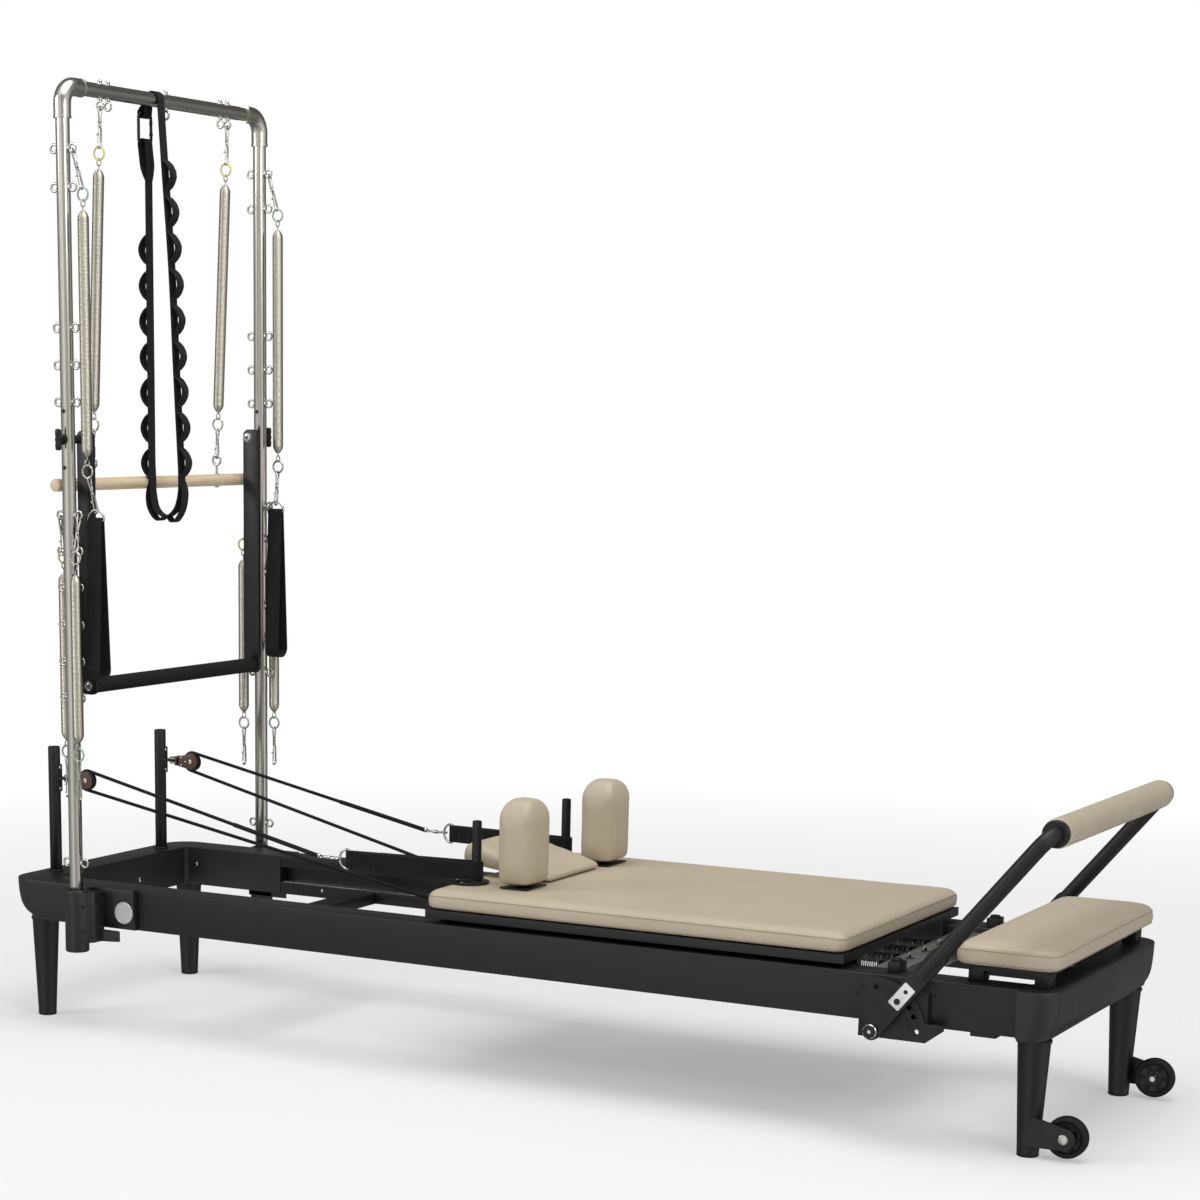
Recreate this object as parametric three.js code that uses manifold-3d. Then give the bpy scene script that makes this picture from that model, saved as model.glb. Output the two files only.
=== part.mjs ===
// Pilates reformer bed with a half tower at its head end.
// Millimetres. +X runs along the bed toward the foot end, +Y is the far side, +Z is up, and the legs stand on Z = 0.
import * as THREE from 'three';
import { mergeVertices } from 'three/addons/utils/BufferGeometryUtils.js';
import Module from 'manifold-3d';

const wasm = await Module();
wasm.setup();

// Clearances and the fineness of round shapes
const clearance = 0.3;
const runningClearance = 1;
const overrun = 2;
const weldTolerance = 0.0005;
const roundSides = 12;
const tubeSides = 8;
const wireSides = 3;
const wireRingSteps = 6;
const wireLoopSides = 6;
const beltSteps = 4;
const hookSteps = 3;
const pinSides = 6;
const cornerSteps = 3;

// Side rails
const frameTopZ = 324;
const railHeight = 91;
const railHalfSpan = 329;
const railWidth = 71;
const railHeadX = -880;
const railFootX = 1150;
const trackHeight = 36;
const trackDepth = 30;
const trackBottomRise = 29;
const railBottomZ = frameTopZ - railHeight;
const railInnerY = railHalfSpan - railWidth;

// Cast end caps: a U of rim and side arms that the rails run into, flared outward at the top
const headEndX = -1241;
const headRim = 82;
const headCapProud = 14;
const headCapHalfWidth = railHalfSpan + headCapProud;
const headCapFlare = 42;
const headCapSideFlare = 8;
const footEndX = 1222;
const footRim = 60;
const footCapProud = 12;
const footCapHalfWidth = railHalfSpan + footCapProud;
const footCapFlare = 15;
const footCapSideFlare = 3;
const footLipDrop = 6;
const headCornerRadius = 66;
const footCornerRadius = 50;
const capInnerRadius = 10;
const capLipInset = 7;
const capFlareShares = [1, 0.5, 0.12, 0];
const capHeightShares = [0.03, 0.16, 0.5, 1];

// Legs, round and tapered
const headLegInset = 69;
const headLegX = headEndX + headLegInset;
const footLegInset = 50;
const footLegX = footEndX - footLegInset;
const legInset = 41;
const legY = railHalfSpan - legInset;
const legTopRadius = 31;
const legFootRadius = 20.5;
const legCollarRadius = 33;
const legCollarHeight = 6;
const legFootEase = 2;
const headLegTopZ = railBottomZ - clearance;
const footLegTopZ = railBottomZ - footLipDrop - clearance;

// The carriage's ends, as it stands against the foot end
const carriageHeadX = -141;
const carriageFootX = 803;

// Cross members between the rails
const crossMemberWidth = 60;
const crossMemberHeight = 26;
const crossMemberX = -640;
const springBarWidth = 58;
const springBarGap = 14;
const springBarX = carriageFootX + springBarGap + springBarWidth / 2;
const springBarThickness = 8;
const springBarTopZ = 313;
const springBarFlange = 34;
const springSlotCount = 5;
const springSlotRadius = 7;

// Risers that carry the rope pulleys
const riserSetBack = 42;
const riserX = headEndX + riserSetBack;
const riserInset = 48;
const riserY = railInnerY - riserInset;
const riserRadius = 14;
const riserTopZ = 616;
const riserEase = 3;

// Tower: uprights, sockets, top bar
const towerX = -1013;
const towerStandOff = 33.6;
const towerY = headCapHalfWidth + towerStandOff;
const tubeRadius = 15.2;
const topBarZ = 2042.5;
const socketRadius = 27;
const socketBottomZ = 180;
const socketTopZ = 321;
const socketFloor = 20;
const socketLugLength = 52;
const socketLugBottomZ = 204;
const socketLugTopZ = 317;
const socketFootLength = 44;
const socketFootTopZ = 230;
const socketLugShare = 0.62;
const socketFootRise = 14;
const elbowRadius = 19.5;
const elbowBend = 38;
const elbowReach = 66;
const elbowSteps = 4;

// Eye bolts through the uprights, fore and aft, at the same heights on both sides
const uprightHeight = topBarZ - socketTopZ;
const eyeletShares = [0.9259, 0.88, 0.7116, 0.6663, 0.621, 0.4813, 0.436, 0.3904, 0.3427, 0.2963, 0.2504, 0.0354];
const eyeletHeights = eyeletShares.map((share) => socketTopZ + uprightHeight * share);
const eyeRingRadius = 8.6;
const eyeWireRadius = 2.6;
const eyeStandOff = 24.8;

// Eye bolts under the top bar
const barEyeInsets = [133.6, 161.6];
const barEyeOffsets = barEyeInsets.map((inset) => towerY - inset);
const barEyeDrop = 29;
const barNutRadius = 5;
const barNutHeight = 9;

// Push-through bar, hung between the uprights
const pushPivotShare = 0.5751;
const pushPivotZ = socketTopZ + uprightHeight * pushPivotShare;
const pushArmInset = 50.6;
const pushArmY = towerY - pushArmInset;
const pushArmThickness = 10;
const pushArmWidth = 44;
const pushArmSetForward = 9;
const pushArmX = towerX + pushArmSetForward;
const pushArmOverhang = 19;
const pushArmCorner = 14;
const pushArmLength = 537;
const pushBarZ = pushPivotZ - pushArmLength;
const pushBarRadius = 17;
const pushPinRadius = 6;
const pushHeadThickness = 4;
const pushHeadRadius = 9;
const adjustHoleRadius = 4;
const adjustHolePitch = 60;

// Clamp knobs that hold the push-through bar's pivots at one of the height holes
const knobStemRadius = 7;
const knobStemLength = 14;
const knobBarLength = 46;
const knobBarRadius = 7;
const knobCollarRadius = 11;
const knobCollarLength = 6;

// Tower springs
const springRadius = 12.5;
const springNeckRadius = 3;
const springTaper = 20;
const springShoulder = 8;
const springEndRadius = 9.5;
const springEyeRadius = 7.2;
const linkRingRadius = 13.5;
const linkWireRadius = 2.3;
const hookWidth = 16;
const hookThickness = 5;
const hookWall = 4.2;
const hookPlay = 1.4;
const bowPlay = 2;
const hookEyeShare = 0.46;

// Roll-down bar on the two inner springs
const rollSpringY = barEyeOffsets[0];
const rollBarDrop = 829.5;
const rollBarZ = topBarZ - rollBarDrop;
const rollBarRadius = 13.7;
const rollBarOverhang = 6.4;
const rollBarHalfLength = towerY + rollBarOverhang;
const rollBarSetBack = 35.4;
const rollSpringTopDrop = 160.5;
const rollSpringTopZ = topBarZ - rollSpringTopDrop;
const rollSpringBottomDrop = 672.5;
const rollSpringBottomZ = topBarZ - rollSpringBottomDrop;
const rollRingTopDrop = 127.5;
const rollRingTopZ = topBarZ - rollRingTopDrop;
const rollRingBottomDrop = 700.5;
const rollRingBottomZ = topBarZ - rollRingBottomDrop;
const rollEyeRadius = 11;
const rollEyeRise = 46;
const rollEyeZ = rollBarZ + rollEyeRise;

// Arm springs on the front eyes, each with a loop handle
const armSpringOffsetX = 50.6;
const armHangZ = eyeletHeights[0];
const armRingTopDrop = 95;
const armRingTopZ = armHangZ - armRingTopDrop;
const armRingBottomDrop = 672;
const armRingBottomZ = armHangZ - armRingBottomDrop;
const armSpringTopDrop = 128;
const armSpringTopZ = armHangZ - armSpringTopDrop;
const armSpringBottomDrop = 640;
const armSpringBottomZ = armHangZ - armSpringBottomDrop;

// Leg springs on the lower eyes, front and back
const legHangZ = eyeletHeights[5];
const legSpringTopDrop = 127.5;
const legSpringTopZ = legHangZ - legSpringTopDrop;
const legSpringBottomDrop = 494.5;
const legSpringBottomZ = legHangZ - legSpringBottomDrop;
const legRingTopDrop = 91.5;
const legRingTopZ = legHangZ - legRingTopDrop;
const legRingBottomDrop = 521.5;
const legRingBottomZ = legHangZ - legRingBottomDrop;
const frontLegSpringX = 26.6;
const frontLegSpringY = 17.5;
const backLegSpringX = 36;
const backLegSpringY = 22;
const legHookEndDrop = 625.5;
const legHookEndZ = legHangZ - legHookEndDrop;

// Loop handles of webbing
const handleWidth = 38;
const handleThickness = 4;
const handleBarDrop = 104;
const handleBarZ = armRingBottomZ - handleBarDrop;
const handleLength = 346;
const handleBottomZ = handleBarZ - handleLength;
const handleLoopRadius = 20;
const handleSetForward = 57;
const handleX = towerX + handleSetForward;
const handleInset = 19.6;
const handleY = towerY - handleInset;
const ringBarRadius = 2.5;
const ringBowRadius = 22;
const ringBowSteps = 7;
const webbingGrip = 0.2;

// Loop strap of webbing over the top bar, with sewn finger loops
const strapY = -42;
const strapWidth = 26;
const strapThickness = 3;
const strapBottomDrop = 905.5;
const strapBottomZ = topBarZ - strapBottomDrop;
const strapBulge = 20;
const strapLoopLength = 62;
const strapLoopPitch = 78;
const strapLoopSteps = 4;
const strapRearLoopCount = 7;
const strapRearLoopTopDrop = 318.5;
const strapRearLoopTopZ = topBarZ - strapRearLoopTopDrop;
const strapFrontLoopCount = 9;
const strapFrontLoopTopDrop = 160;
const strapFrontLoopTopZ = topBarZ - strapFrontLoopTopDrop;
const strapFrontReach = 64;
const strapSlack = 1.5;
const strapTopSteps = 6;
const strapReachShares = [0.31, 0.44, 0.58, 0.7, 0.83, 0.95, 1, 0.97, 0.8, 0.45, 0.11, -0.14, -0.26];
const strapHeightShares = [0.942, 0.814, 0.688, 0.555, 0.346, 0.18, 0.103, 0.058, 0.022, 0.002, 0.006, 0.025, 0.064];
const strapStrandCount = 7;
const clipLoopDrop = 6;
const clipLoopZ = topBarZ - clipLoopDrop;
const clipGap = 5.2;
const endLoopPoints = [[13, -26], [15, -48], [10.5, -76], [7.5, -76], [-3, -52], [-7, -26]];
const endLoopDrop = 76.5;
const lowFrontLoopPoints = [[62.5, 86], [73, 58], [69, 24], [56, -1], [41, -11], [27, 1.5]];
const lowRearLoopPoints = [[-18.5, 78], [-27, 52], [-25, 24], [-13, 2], [3, -8], [19, 1.5]];
const carabinerDrop = 26.5;
const carabinerZ = topBarZ - carabinerDrop;
const carabinerHeight = 65;
const carabinerWidth = 37;
const carabinerCorner = 10;
const carabinerWire = 3.5;
const carabinerTurn = 78;
const carabinerSetBack = 9;

// Pulleys at the risers
const pulleyZ = 543;
const swivelReach = 36;
const swivelX = riserX + swivelReach;
const pulleyReach = 60;
const pulleyX = swivelX + pulleyReach;
const swivelPinRadius = 3;
const lugRadius = 8;
const lugThickness = 6;
const tongueThickness = 4;
const tongueHalfWidth = 7;
const cheekLength = 29;
const cheekStartX = pulleyX - cheekLength;
const cheekRadius = 19;
const cheekThickness = 3;
const bridgeLength = 14;
const bridgeHalfHeight = 12;
const sheaveRadius = 22;
const sheaveGrooveRadius = 17.5;
const sheaveFloorWidth = 6;
const sheaveLipWidth = 8.6;
const sheaveWidth = 11;
const sheavePinRadius = 4;

// Ropes
const ropeRadius = 4;
const ropeSides = 8;
const ropeWrapSteps = 6;
const ropeTopAngle = 78;
const ropeBottomAngle = 258;
const ropeAnchorInset = 96;
const ropeAnchorY = riserY - ropeAnchorInset;
const ropeAnchorZ = 318;
const ropeHookLength = 58;
const ropeRunSteps = 3;
const ropeLead = 12;
const sleeveRadius = 6;
const sleeveLength = 240;

// Carriage
const carriageInset = 5;
const carriageHalfWidth = railHalfSpan - carriageInset;
const boardInset = 4;
const boardThickness = 18;
const boardBottomZ = 334;
const padThickness = 41;
const padCrown = 2;
const padCornerRadius = 22;
const crownReach = 60;
const runnerGap = 8;
const runnerOuterY = railInnerY - runnerGap;
const runnerWidth = 24;
const runnerBottomZ = 268;
const rollerRadius = 17.6;
const rollerReach = 26;
const rollerInset = 62;
const endPlateThickness = 12;
const springAnchorX = 370;
const carrierLength = 34;
const carrierGap = 34;
const carrierHalfWidth = runnerOuterY - runnerWidth - carrierGap;
const carrierEnd = 16;
const springSlotPitch = (2 * (carrierHalfWidth - carrierEnd)) / (springSlotCount - 1);
const carrierHalfHeight = 8;
const bedSpringRadius = 11;
const bedSpringFootX = 800;
const bedSpringZ = 291;
const bedHookRadius = 3;
const bedHookRise = 7;

// Shoulder rests
const restHeadX = -14;
const restFootX = 66;
const restInset = 82;
const restWidth = 107;
const restOuterY = carriageHalfWidth - restInset;
const restInnerY = restOuterY - restWidth;
const restBottomZ = 404;
const restTopZ = 586;
const restCornerRadius = 15;
const restTopRadius = 38;
const restFaceRadius = 12;
const restDraw = 3;
const restRoundAngles = [20, 45, 68, 90];
const restCornerShare = 0.92;
const restPlateInset = 8;

// Strap pegs
const pegX = -79;
const pegInset = 120;
const pegY = carriageHalfWidth - pegInset;
const pegRadius = 10;
const pegTopZ = 530;
const pegFootRadius = 13;
const pegDiscRadius = 42;
const pegDiscThickness = 5;
const pegDiscShift = 16;
const pegEase = 2;

// Headrest, hinged along its foot edge
const headrestHeadX = -169;
const headrestFootX = 54;
const headrestGap = 13;
const headrestHalfWidth = restInnerY - headrestGap;
const headrestThickness = 50;
const headrestFootThickness = 14;
const headrestTilt = 6.5;
const headrestCornerRadius = 16;

// Handle straps looped over the pegs
const cuffWidth = 38;
const cuffThickness = 4;
const cuffEndX = -385;
const cuffSplay = 22;
const cuffEndY = pegY + cuffSplay;
const cuffZ = 424;
const cuffSteps = 8;

// Foot platform
const platformHeadX = 1012;
const platformFootX = 1219;
const platformInset = 11;
const platformHalfWidth = railHalfSpan - platformInset;
const platformBottomZ = 358;
const platformPadThickness = 42;
const platformCornerRadius = 30;
const platformBoardInset = 26;
const platformBoardThickness = 12;
const standLength = 30;
const standWidth = 36;
const standHeadX = 1030;
const standFootX = 1166;

// Footbar
const footbarPivotX = 882;
const footbarPivotZ = 223;
const footbarReach = 512;
const footbarAngle = 51.2;
const footbarTubeRadius = 15.5;
const footbarFlatWidth = 36;
const footbarFlatThickness = 16;
const footbarFlatLength = 200;
const footbarTubeStart = 176;
const footbarBend = 34;
const footbarBendSteps = 4;
const footbarPadRadius = 28.5;
const footbarCollarRadius = 26;
const footbarCollarWidth = 10;
const pivotPinRadius = 8;
const pivotCapRadius = 13.5;
const pivotCapThickness = 6;
const quadrantHoleRadius = 82;
const quadrantHoleSize = 5.5;
const quadrantHoleAngles = [90.6, footbarAngle, 37, 23.5, 2.4];
const quadrantEdge = 100;
const quadrantArcStart = 12;
const quadrantArcEnd = 102;
const quadrantArcSteps = 8;
const quadrantThickness = 8;
const quadrantStandOff = 18;
const footbarArmGap = 8.2;
const quadrantBaseTopZ = 300;
const quadrantBackReach = 34;
const quadrantBottomZ = 207;
const quadrantFootReach = 134;
const footbarArmY = railHalfSpan + clearance + quadrantStandOff + quadrantThickness
  + footbarArmGap + footbarFlatThickness / 2;
const lockNear = 69;
const lockFar = 122;
const lockWidth = 26;
const lockThickness = 3;
const lockPinRadius = 5;

// Transport wheels on the foot legs
const wheelReach = 73;
const wheelAxleX = footLegX + wheelReach;
const wheelAxleZ = 45.5;
const wheelRadius = 40.5;
const wheelWidth = 24;
const wheelHubRadius = 16;
const wheelHubInset = 4;
const wheelTyreEase = 5;
const wheelInset = 2;
const wheelY = legY - wheelInset;
const axleRadius = 5;
const bracketGap = 4;
const bracketThickness = 8;
const bracketEndRadius = 22;
const bracketRootReach = 79;
const bracketRootX = wheelAxleX - bracketRootReach;
const bracketTopZ = 84;
const bracketBottomZ = 22;

// Cushions: how far each ring of the side is drawn in, and how high it stands, as shares of the thickness
const cushionInsetShares = [0.1, 0.05, 0, 0.02, 0.15, 0.42];
const cushionHeightShares = [0, 0.12, 0.45, 0.72, 0.9, 1];
const cushionCornerShare = 0.35;
const cushionReachShare = 0.6;
const cushionCornerSteps = 2;

// Small vector and outline helpers
const at = (x, y, z) => new THREE.Vector3(x, y, z);
const radians = (angle) => THREE.MathUtils.degToRad(angle);
const cosine = (angle) => Math.cos(radians(angle));
const sine = (angle) => Math.sin(radians(angle));
const sides = [{ name: 'near', side: -1 }, { name: 'far', side: 1 }];

// Merge shared points, drop faces that collapsed to a line, and turn the faces outward
function weld(geometry) {
  const plain = geometry.index ? geometry.toNonIndexed() : geometry.clone();
  plain.deleteAttribute('normal');
  plain.deleteAttribute('uv');
  const merged = mergeVertices(plain, weldTolerance);
  const place = merged.attributes.position;
  const source = merged.index.array;
  const kept = [];
  let volume = 0;
  const [a, b, c] = [at(0, 0, 0), at(0, 0, 0), at(0, 0, 0)];
  for (let i = 0; i < source.length; i += 3) {
    const [p, q, r] = [source[i], source[i + 1], source[i + 2]];
    if (p === q || q === r || r === p) continue;
    kept.push(p, q, r);
    a.fromBufferAttribute(place, p);
    b.fromBufferAttribute(place, q);
    c.fromBufferAttribute(place, r);
    volume += a.dot(b.cross(c));
  }
  if (volume < 0) {
    for (let i = 0; i < kept.length; i += 3) [kept[i + 1], kept[i + 2]] = [kept[i + 2], kept[i + 1]];
  }
  const result = new THREE.BufferGeometry();
  result.setAttribute('position', new THREE.BufferAttribute(new Float32Array(place.array), 3));
  result.setIndex(kept);
  return result;
}

// Booleans
function toSolid(geometry) {
  const welded = weld(geometry);
  const vertProperties = welded.attributes.position.array;
  const triVerts = Uint32Array.from(welded.index.array);
  return new wasm.Manifold(new wasm.Mesh({ numProp: 3, vertProperties, triVerts }));
}

function toGeometry(solid) {
  const mesh = solid.getMesh();
  const geometry = new THREE.BufferGeometry();
  geometry.setAttribute('position', new THREE.BufferAttribute(new Float32Array(mesh.vertProperties), 3));
  geometry.setIndex(Array.from(mesh.triVerts));
  return geometry;
}

function join(...shapes) {
  return toGeometry(shapes.map(toSolid).reduce((sum, next) => sum.add(next)));
}

function cut(shape, ...cutters) {
  return toGeometry(cutters.map(toSolid).reduce((rest, next) => rest.subtract(next), toSolid(shape)));
}

// A hole's radius, so that its flat sides clear a round pin whichever way the two are turned
function boreRadius(radius, count = tubeSides) {
  return (radius + clearance) / Math.cos(Math.PI / count);
}

// Basic shapes
function block(xLow, xHigh, yLow, yHigh, zLow, zHigh) {
  const geometry = new THREE.BoxGeometry(xHigh - xLow, yHigh - yLow, zHigh - zLow);
  return geometry.translate((xLow + xHigh) / 2, (yLow + yHigh) / 2, (zLow + zHigh) / 2);
}

function rod(from, to, radius, count = tubeSides) {
  const span = to.clone().sub(from);
  const geometry = new THREE.CylinderGeometry(radius, radius, span.length(), count);
  geometry.applyQuaternion(new THREE.Quaternion().setFromUnitVectors(at(0, 1, 0), span.clone().normalize()));
  const middle = from.clone().add(to).multiplyScalar(0.5);
  return geometry.translate(middle.x, middle.y, middle.z);
}

// A turned shape about Z: the profile lists [radius, height], from axis to axis or closed on itself
function turned(profile, count = roundSides) {
  const points = profile.map(([radius, height]) => new THREE.Vector2(radius, height));
  return new THREE.LatheGeometry(points, count).rotateX(Math.PI / 2);
}

// A ring of wire that lies in the plane square to the given axis
function wireRing(centre, radius, wire, axis) {
  const geometry = new THREE.TorusGeometry(radius, wire, wireSides, wireRingSteps);
  geometry.applyQuaternion(new THREE.Quaternion().setFromUnitVectors(at(0, 0, 1), axis));
  return geometry.translate(centre.x, centre.y, centre.z);
}

// A closed loop of wire through the listed points, which lie in one plane
function wireLoop(points, normal, wire, count = wireLoopSides) {
  const total = points.length;
  const rings = points.map((point, i) => {
    const before = points[(i + total - 1) % total];
    const after = points[(i + 1) % total];
    const out = after.clone().sub(before).cross(normal).normalize();
    return Array.from({ length: count }, (_, k) => {
      const angle = (2 * Math.PI * k) / count;
      return point.clone().addScaledVector(out, wire * Math.cos(angle)).addScaledVector(normal, wire * Math.sin(angle));
    });
  });
  const faces = [];
  for (let i = 0; i < total; i += 1) {
    for (let k = 0; k < count; k += 1) {
      const [a, b] = [i * count + k, i * count + ((k + 1) % count)];
      const next = ((i + 1) % total) * count;
      const [c, d] = [next + ((k + 1) % count), next + k];
      faces.push(a, b, c, a, c, d);
    }
  }
  return meshOf(rings.flat(), faces);
}

function meshOf(points, faces) {
  const geometry = new THREE.BufferGeometry();
  geometry.setAttribute('position', new THREE.BufferAttribute(new Float32Array(points.flatMap((p) => p.toArray())), 3));
  geometry.setIndex(faces);
  return geometry;
}

// An outline in X and Z, thick along Y
function plateXZ(shape, yLow, yHigh) {
  const geometry = new THREE.ExtrudeGeometry(shape, { depth: yHigh - yLow, bevelEnabled: false });
  const turn = new THREE.Matrix4().makeBasis(at(1, 0, 0), at(0, 0, 1), at(0, -1, 0));
  return geometry.applyMatrix4(turn).translate(0, yHigh, 0);
}

// An outline in Y and Z, drawn out along X
function barYZ(shape, xLow, xHigh) {
  const geometry = new THREE.ExtrudeGeometry(shape, { depth: xHigh - xLow, bevelEnabled: false });
  const turn = new THREE.Matrix4().makeBasis(at(0, 1, 0), at(0, 0, 1), at(1, 0, 0));
  return geometry.applyMatrix4(turn).translate(xLow, 0, 0);
}

// An outline in X and Y, tall along Z
function slabXY(shape, zLow, zHigh) {
  const geometry = new THREE.ExtrudeGeometry(shape, { depth: zHigh - zLow, bevelEnabled: false });
  return geometry.translate(0, 0, zLow);
}

// Outlines run counterclockwise, so that their holes are told from them
function shapeOf(points) {
  const outline = points.map(([x, y]) => new THREE.Vector2(x, y));
  return new THREE.Shape(THREE.ShapeUtils.isClockWise(outline) ? outline.reverse() : outline);
}

function holed(outer, ...holes) {
  const shape = shapeOf(outer);
  holes.forEach((hole) => shape.holes.push(shapeOf(hole)));
  return shape;
}

// Points on an arc, from one angle to another, ends included
function arc(x, y, radius, from, to, steps) {
  return Array.from({ length: steps + 1 }, (_, i) => {
    const angle = from + ((to - from) * i) / steps;
    return [x + radius * cosine(angle), y + radius * sine(angle)];
  });
}

// A rounded rectangle about the origin, as a list of points
function roundedRectangle(halfX, halfY, radius, steps = cornerSteps) {
  return [
    ...arc(halfX - radius, halfY - radius, radius, 0, 90, steps),
    ...arc(radius - halfX, halfY - radius, radius, 90, 180, steps),
    ...arc(radius - halfX, radius - halfY, radius, 180, 270, steps),
    ...arc(halfX - radius, radius - halfY, radius, 270, 360, steps),
  ];
}

// The outline of a belt round two circles
function belt([ax, ay], radiusA, [bx, by], radiusB, steps = beltSteps) {
  const heading = THREE.MathUtils.radToDeg(Math.atan2(by - ay, bx - ax));
  const spread = THREE.MathUtils.radToDeg(Math.acos((radiusA - radiusB) / Math.hypot(bx - ax, by - ay)));
  return [
    ...arc(bx, by, radiusB, heading - spread, heading + spread, steps),
    ...arc(ax, ay, radiusA, heading + spread, heading + 360 - spread, steps),
  ];
}

// Webbing that runs round two circles, as an outline with a hole
function beltBand(a, radiusA, b, radiusB, thickness, steps) {
  const half = thickness / 2;
  return holed(belt(a, radiusA + half, b, radiusB + half, steps), belt(a, radiusA - half, b, radiusB - half, steps));
}

// Both edges of a ribbon that follows a line of points
function ribbon(points, thickness, closed) {
  const last = points.length - 1;
  const edge = (sign) => points.map(([x, y], i) => {
    const before = closed ? points[(i + last) % (last + 1)] : points[Math.max(i - 1, 0)];
    const after = closed ? points[(i + 1) % (last + 1)] : points[Math.min(i + 1, last)];
    const span = Math.hypot(after[0] - before[0], after[1] - before[1]);
    const shift = (sign * thickness) / 2 / span;
    return [x + (after[1] - before[1]) * shift, y - (after[0] - before[0]) * shift];
  });
  return [edge(1), edge(-1)];
}

function openRibbon(points, thickness) {
  const [right, left] = ribbon(points, thickness, false);
  return shapeOf([...right, ...left.reverse()]);
}

// A closed line that runs clockwise has its inner edge on its right
function closedRibbon(points, thickness) {
  const [inner, outer] = ribbon(points, thickness, true);
  return holed(outer, inner);
}

// A solid through a stack of rings with the same number of points each
function loft(rings) {
  const count = rings[0].length;
  const faces = [];
  for (let level = 0; level + 1 < rings.length; level += 1) {
    for (let i = 0; i < count; i += 1) {
      const j = (i + 1) % count;
      const [a, b, c, d] = [level * count + i, level * count + j, (level + 1) * count + j, (level + 1) * count + i];
      faces.push(a, b, c, a, c, d);
    }
  }
  const flat = (ring) => ring.map((point) => new THREE.Vector2(point.x, point.y));
  const last = (rings.length - 1) * count;
  THREE.ShapeUtils.triangulateShape(flat(rings[0]), []).forEach(([a, b, c]) => faces.push(c, b, a));
  THREE.ShapeUtils.triangulateShape(flat(rings[rings.length - 1]), []).forEach(([a, b, c]) => {
    faces.push(last + a, last + b, last + c);
  });
  return meshOf(rings.flat(), faces);
}

// A route that passes through every listed point, one step of the sweep to each
class Route extends THREE.Curve {
  constructor(points) {
    super();
    this.points = points;
  }
  getPointAt(share, target = new THREE.Vector3()) {
    const place = share * (this.points.length - 1);
    const index = Math.min(Math.floor(place), this.points.length - 2);
    return target.lerpVectors(this.points[index], this.points[index + 1], place - index);
  }
  getTangentAt(share, target = new THREE.Vector3()) {
    const index = Math.round(share * (this.points.length - 1));
    const before = this.points[Math.max(index - 1, 0)];
    const after = this.points[Math.min(index + 1, this.points.length - 1)];
    return target.subVectors(after, before).normalize();
  }
}

function sweep(points, radius, count = tubeSides) {
  const section = shapeOf(arc(0, 0, radius, 0, 360 - 360 / count, count - 1));
  const steps = points.length - 1;
  return new THREE.ExtrudeGeometry(section, { steps, extrudePath: new Route(points), bevelEnabled: false });
}

// The corner between two directions, rounded by an arc of the given radius
function roundedCorner(corner, toward, away, radius, steps) {
  const centre = corner.clone().addScaledVector(toward, -radius).addScaledVector(away, radius);
  return Array.from({ length: steps + 1 }, (_, i) => {
    const angle = (90 * i) / steps;
    return centre.clone().addScaledVector(away, -radius * cosine(angle)).addScaledVector(toward, radius * sine(angle));
  });
}

// A cushion about the origin: sides drawn in at the seam, edges rounded over and a low crown
function cushion(halfX, halfY, thickness, corner, crown) {
  const ring = (inset, height) => {
    const radius = Math.max(corner - inset, corner * cushionCornerShare);
    return roundedRectangle(halfX - inset, halfY - inset, radius, cushionCornerSteps).map(([x, y]) => at(x, y, height));
  };
  const rings = cushionInsetShares.map((share, i) => ring(thickness * share, thickness * cushionHeightShares[i]));
  const reach = Math.min(crownReach, Math.min(halfX, halfY) * cushionReachShare);
  return loft([...rings, ring(reach, thickness + crown)]);
}

const part = new THREE.Group();

function add(name, geometry, look) {
  const mesh = new THREE.Mesh(weld(geometry), new THREE.MeshStandardMaterial(looks[look]));
  mesh.name = name;
  part.add(mesh);
}

const looks = {
  powderCoat: { color: 0x2b2b2c, roughness: 0.5, metalness: 0.2 },
  satinBlack: { color: 0x1b1b1d, roughness: 0.45, metalness: 0.1 },
  stainless: { color: 0xc9c8c4, roughness: 0.22, metalness: 1 },
  nickel: { color: 0xb3ab9c, roughness: 0.35, metalness: 0.9 },
  aluminium: { color: 0xc4c6c4, roughness: 0.4, metalness: 0.8 },
  vinyl: { color: 0xc3b8a2, roughness: 0.55, metalness: 0 },
  webbing: { color: 0x17181b, roughness: 0.9, metalness: 0 },
  maple: { color: 0xdeceb4, roughness: 0.5, metalness: 0 },
  rubber: { color: 0x151515, roughness: 0.75, metalness: 0 },
  resin: { color: 0x6b3b26, roughness: 0.45, metalness: 0 },
};

// Turn a shape made for the far side over to the given side
function turnedTo(side, geometry) {
  return geometry.scale(1, side, 1);
}

// Side rails: a box section with a track for the carriage rollers in the inner face
function rail() {
  const trackBottomZ = railBottomZ + trackBottomRise;
  const section = shapeOf([
    [railInnerY, railBottomZ],
    [railHalfSpan, railBottomZ],
    [railHalfSpan, frameTopZ],
    [railInnerY, frameTopZ],
    [railInnerY, trackBottomZ + trackHeight],
    [railInnerY + trackDepth, trackBottomZ + trackHeight],
    [railInnerY + trackDepth, trackBottomZ],
    [railInnerY, trackBottomZ],
  ]);
  return barYZ(section, railHeadX + clearance, railFootX - clearance);
}

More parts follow.
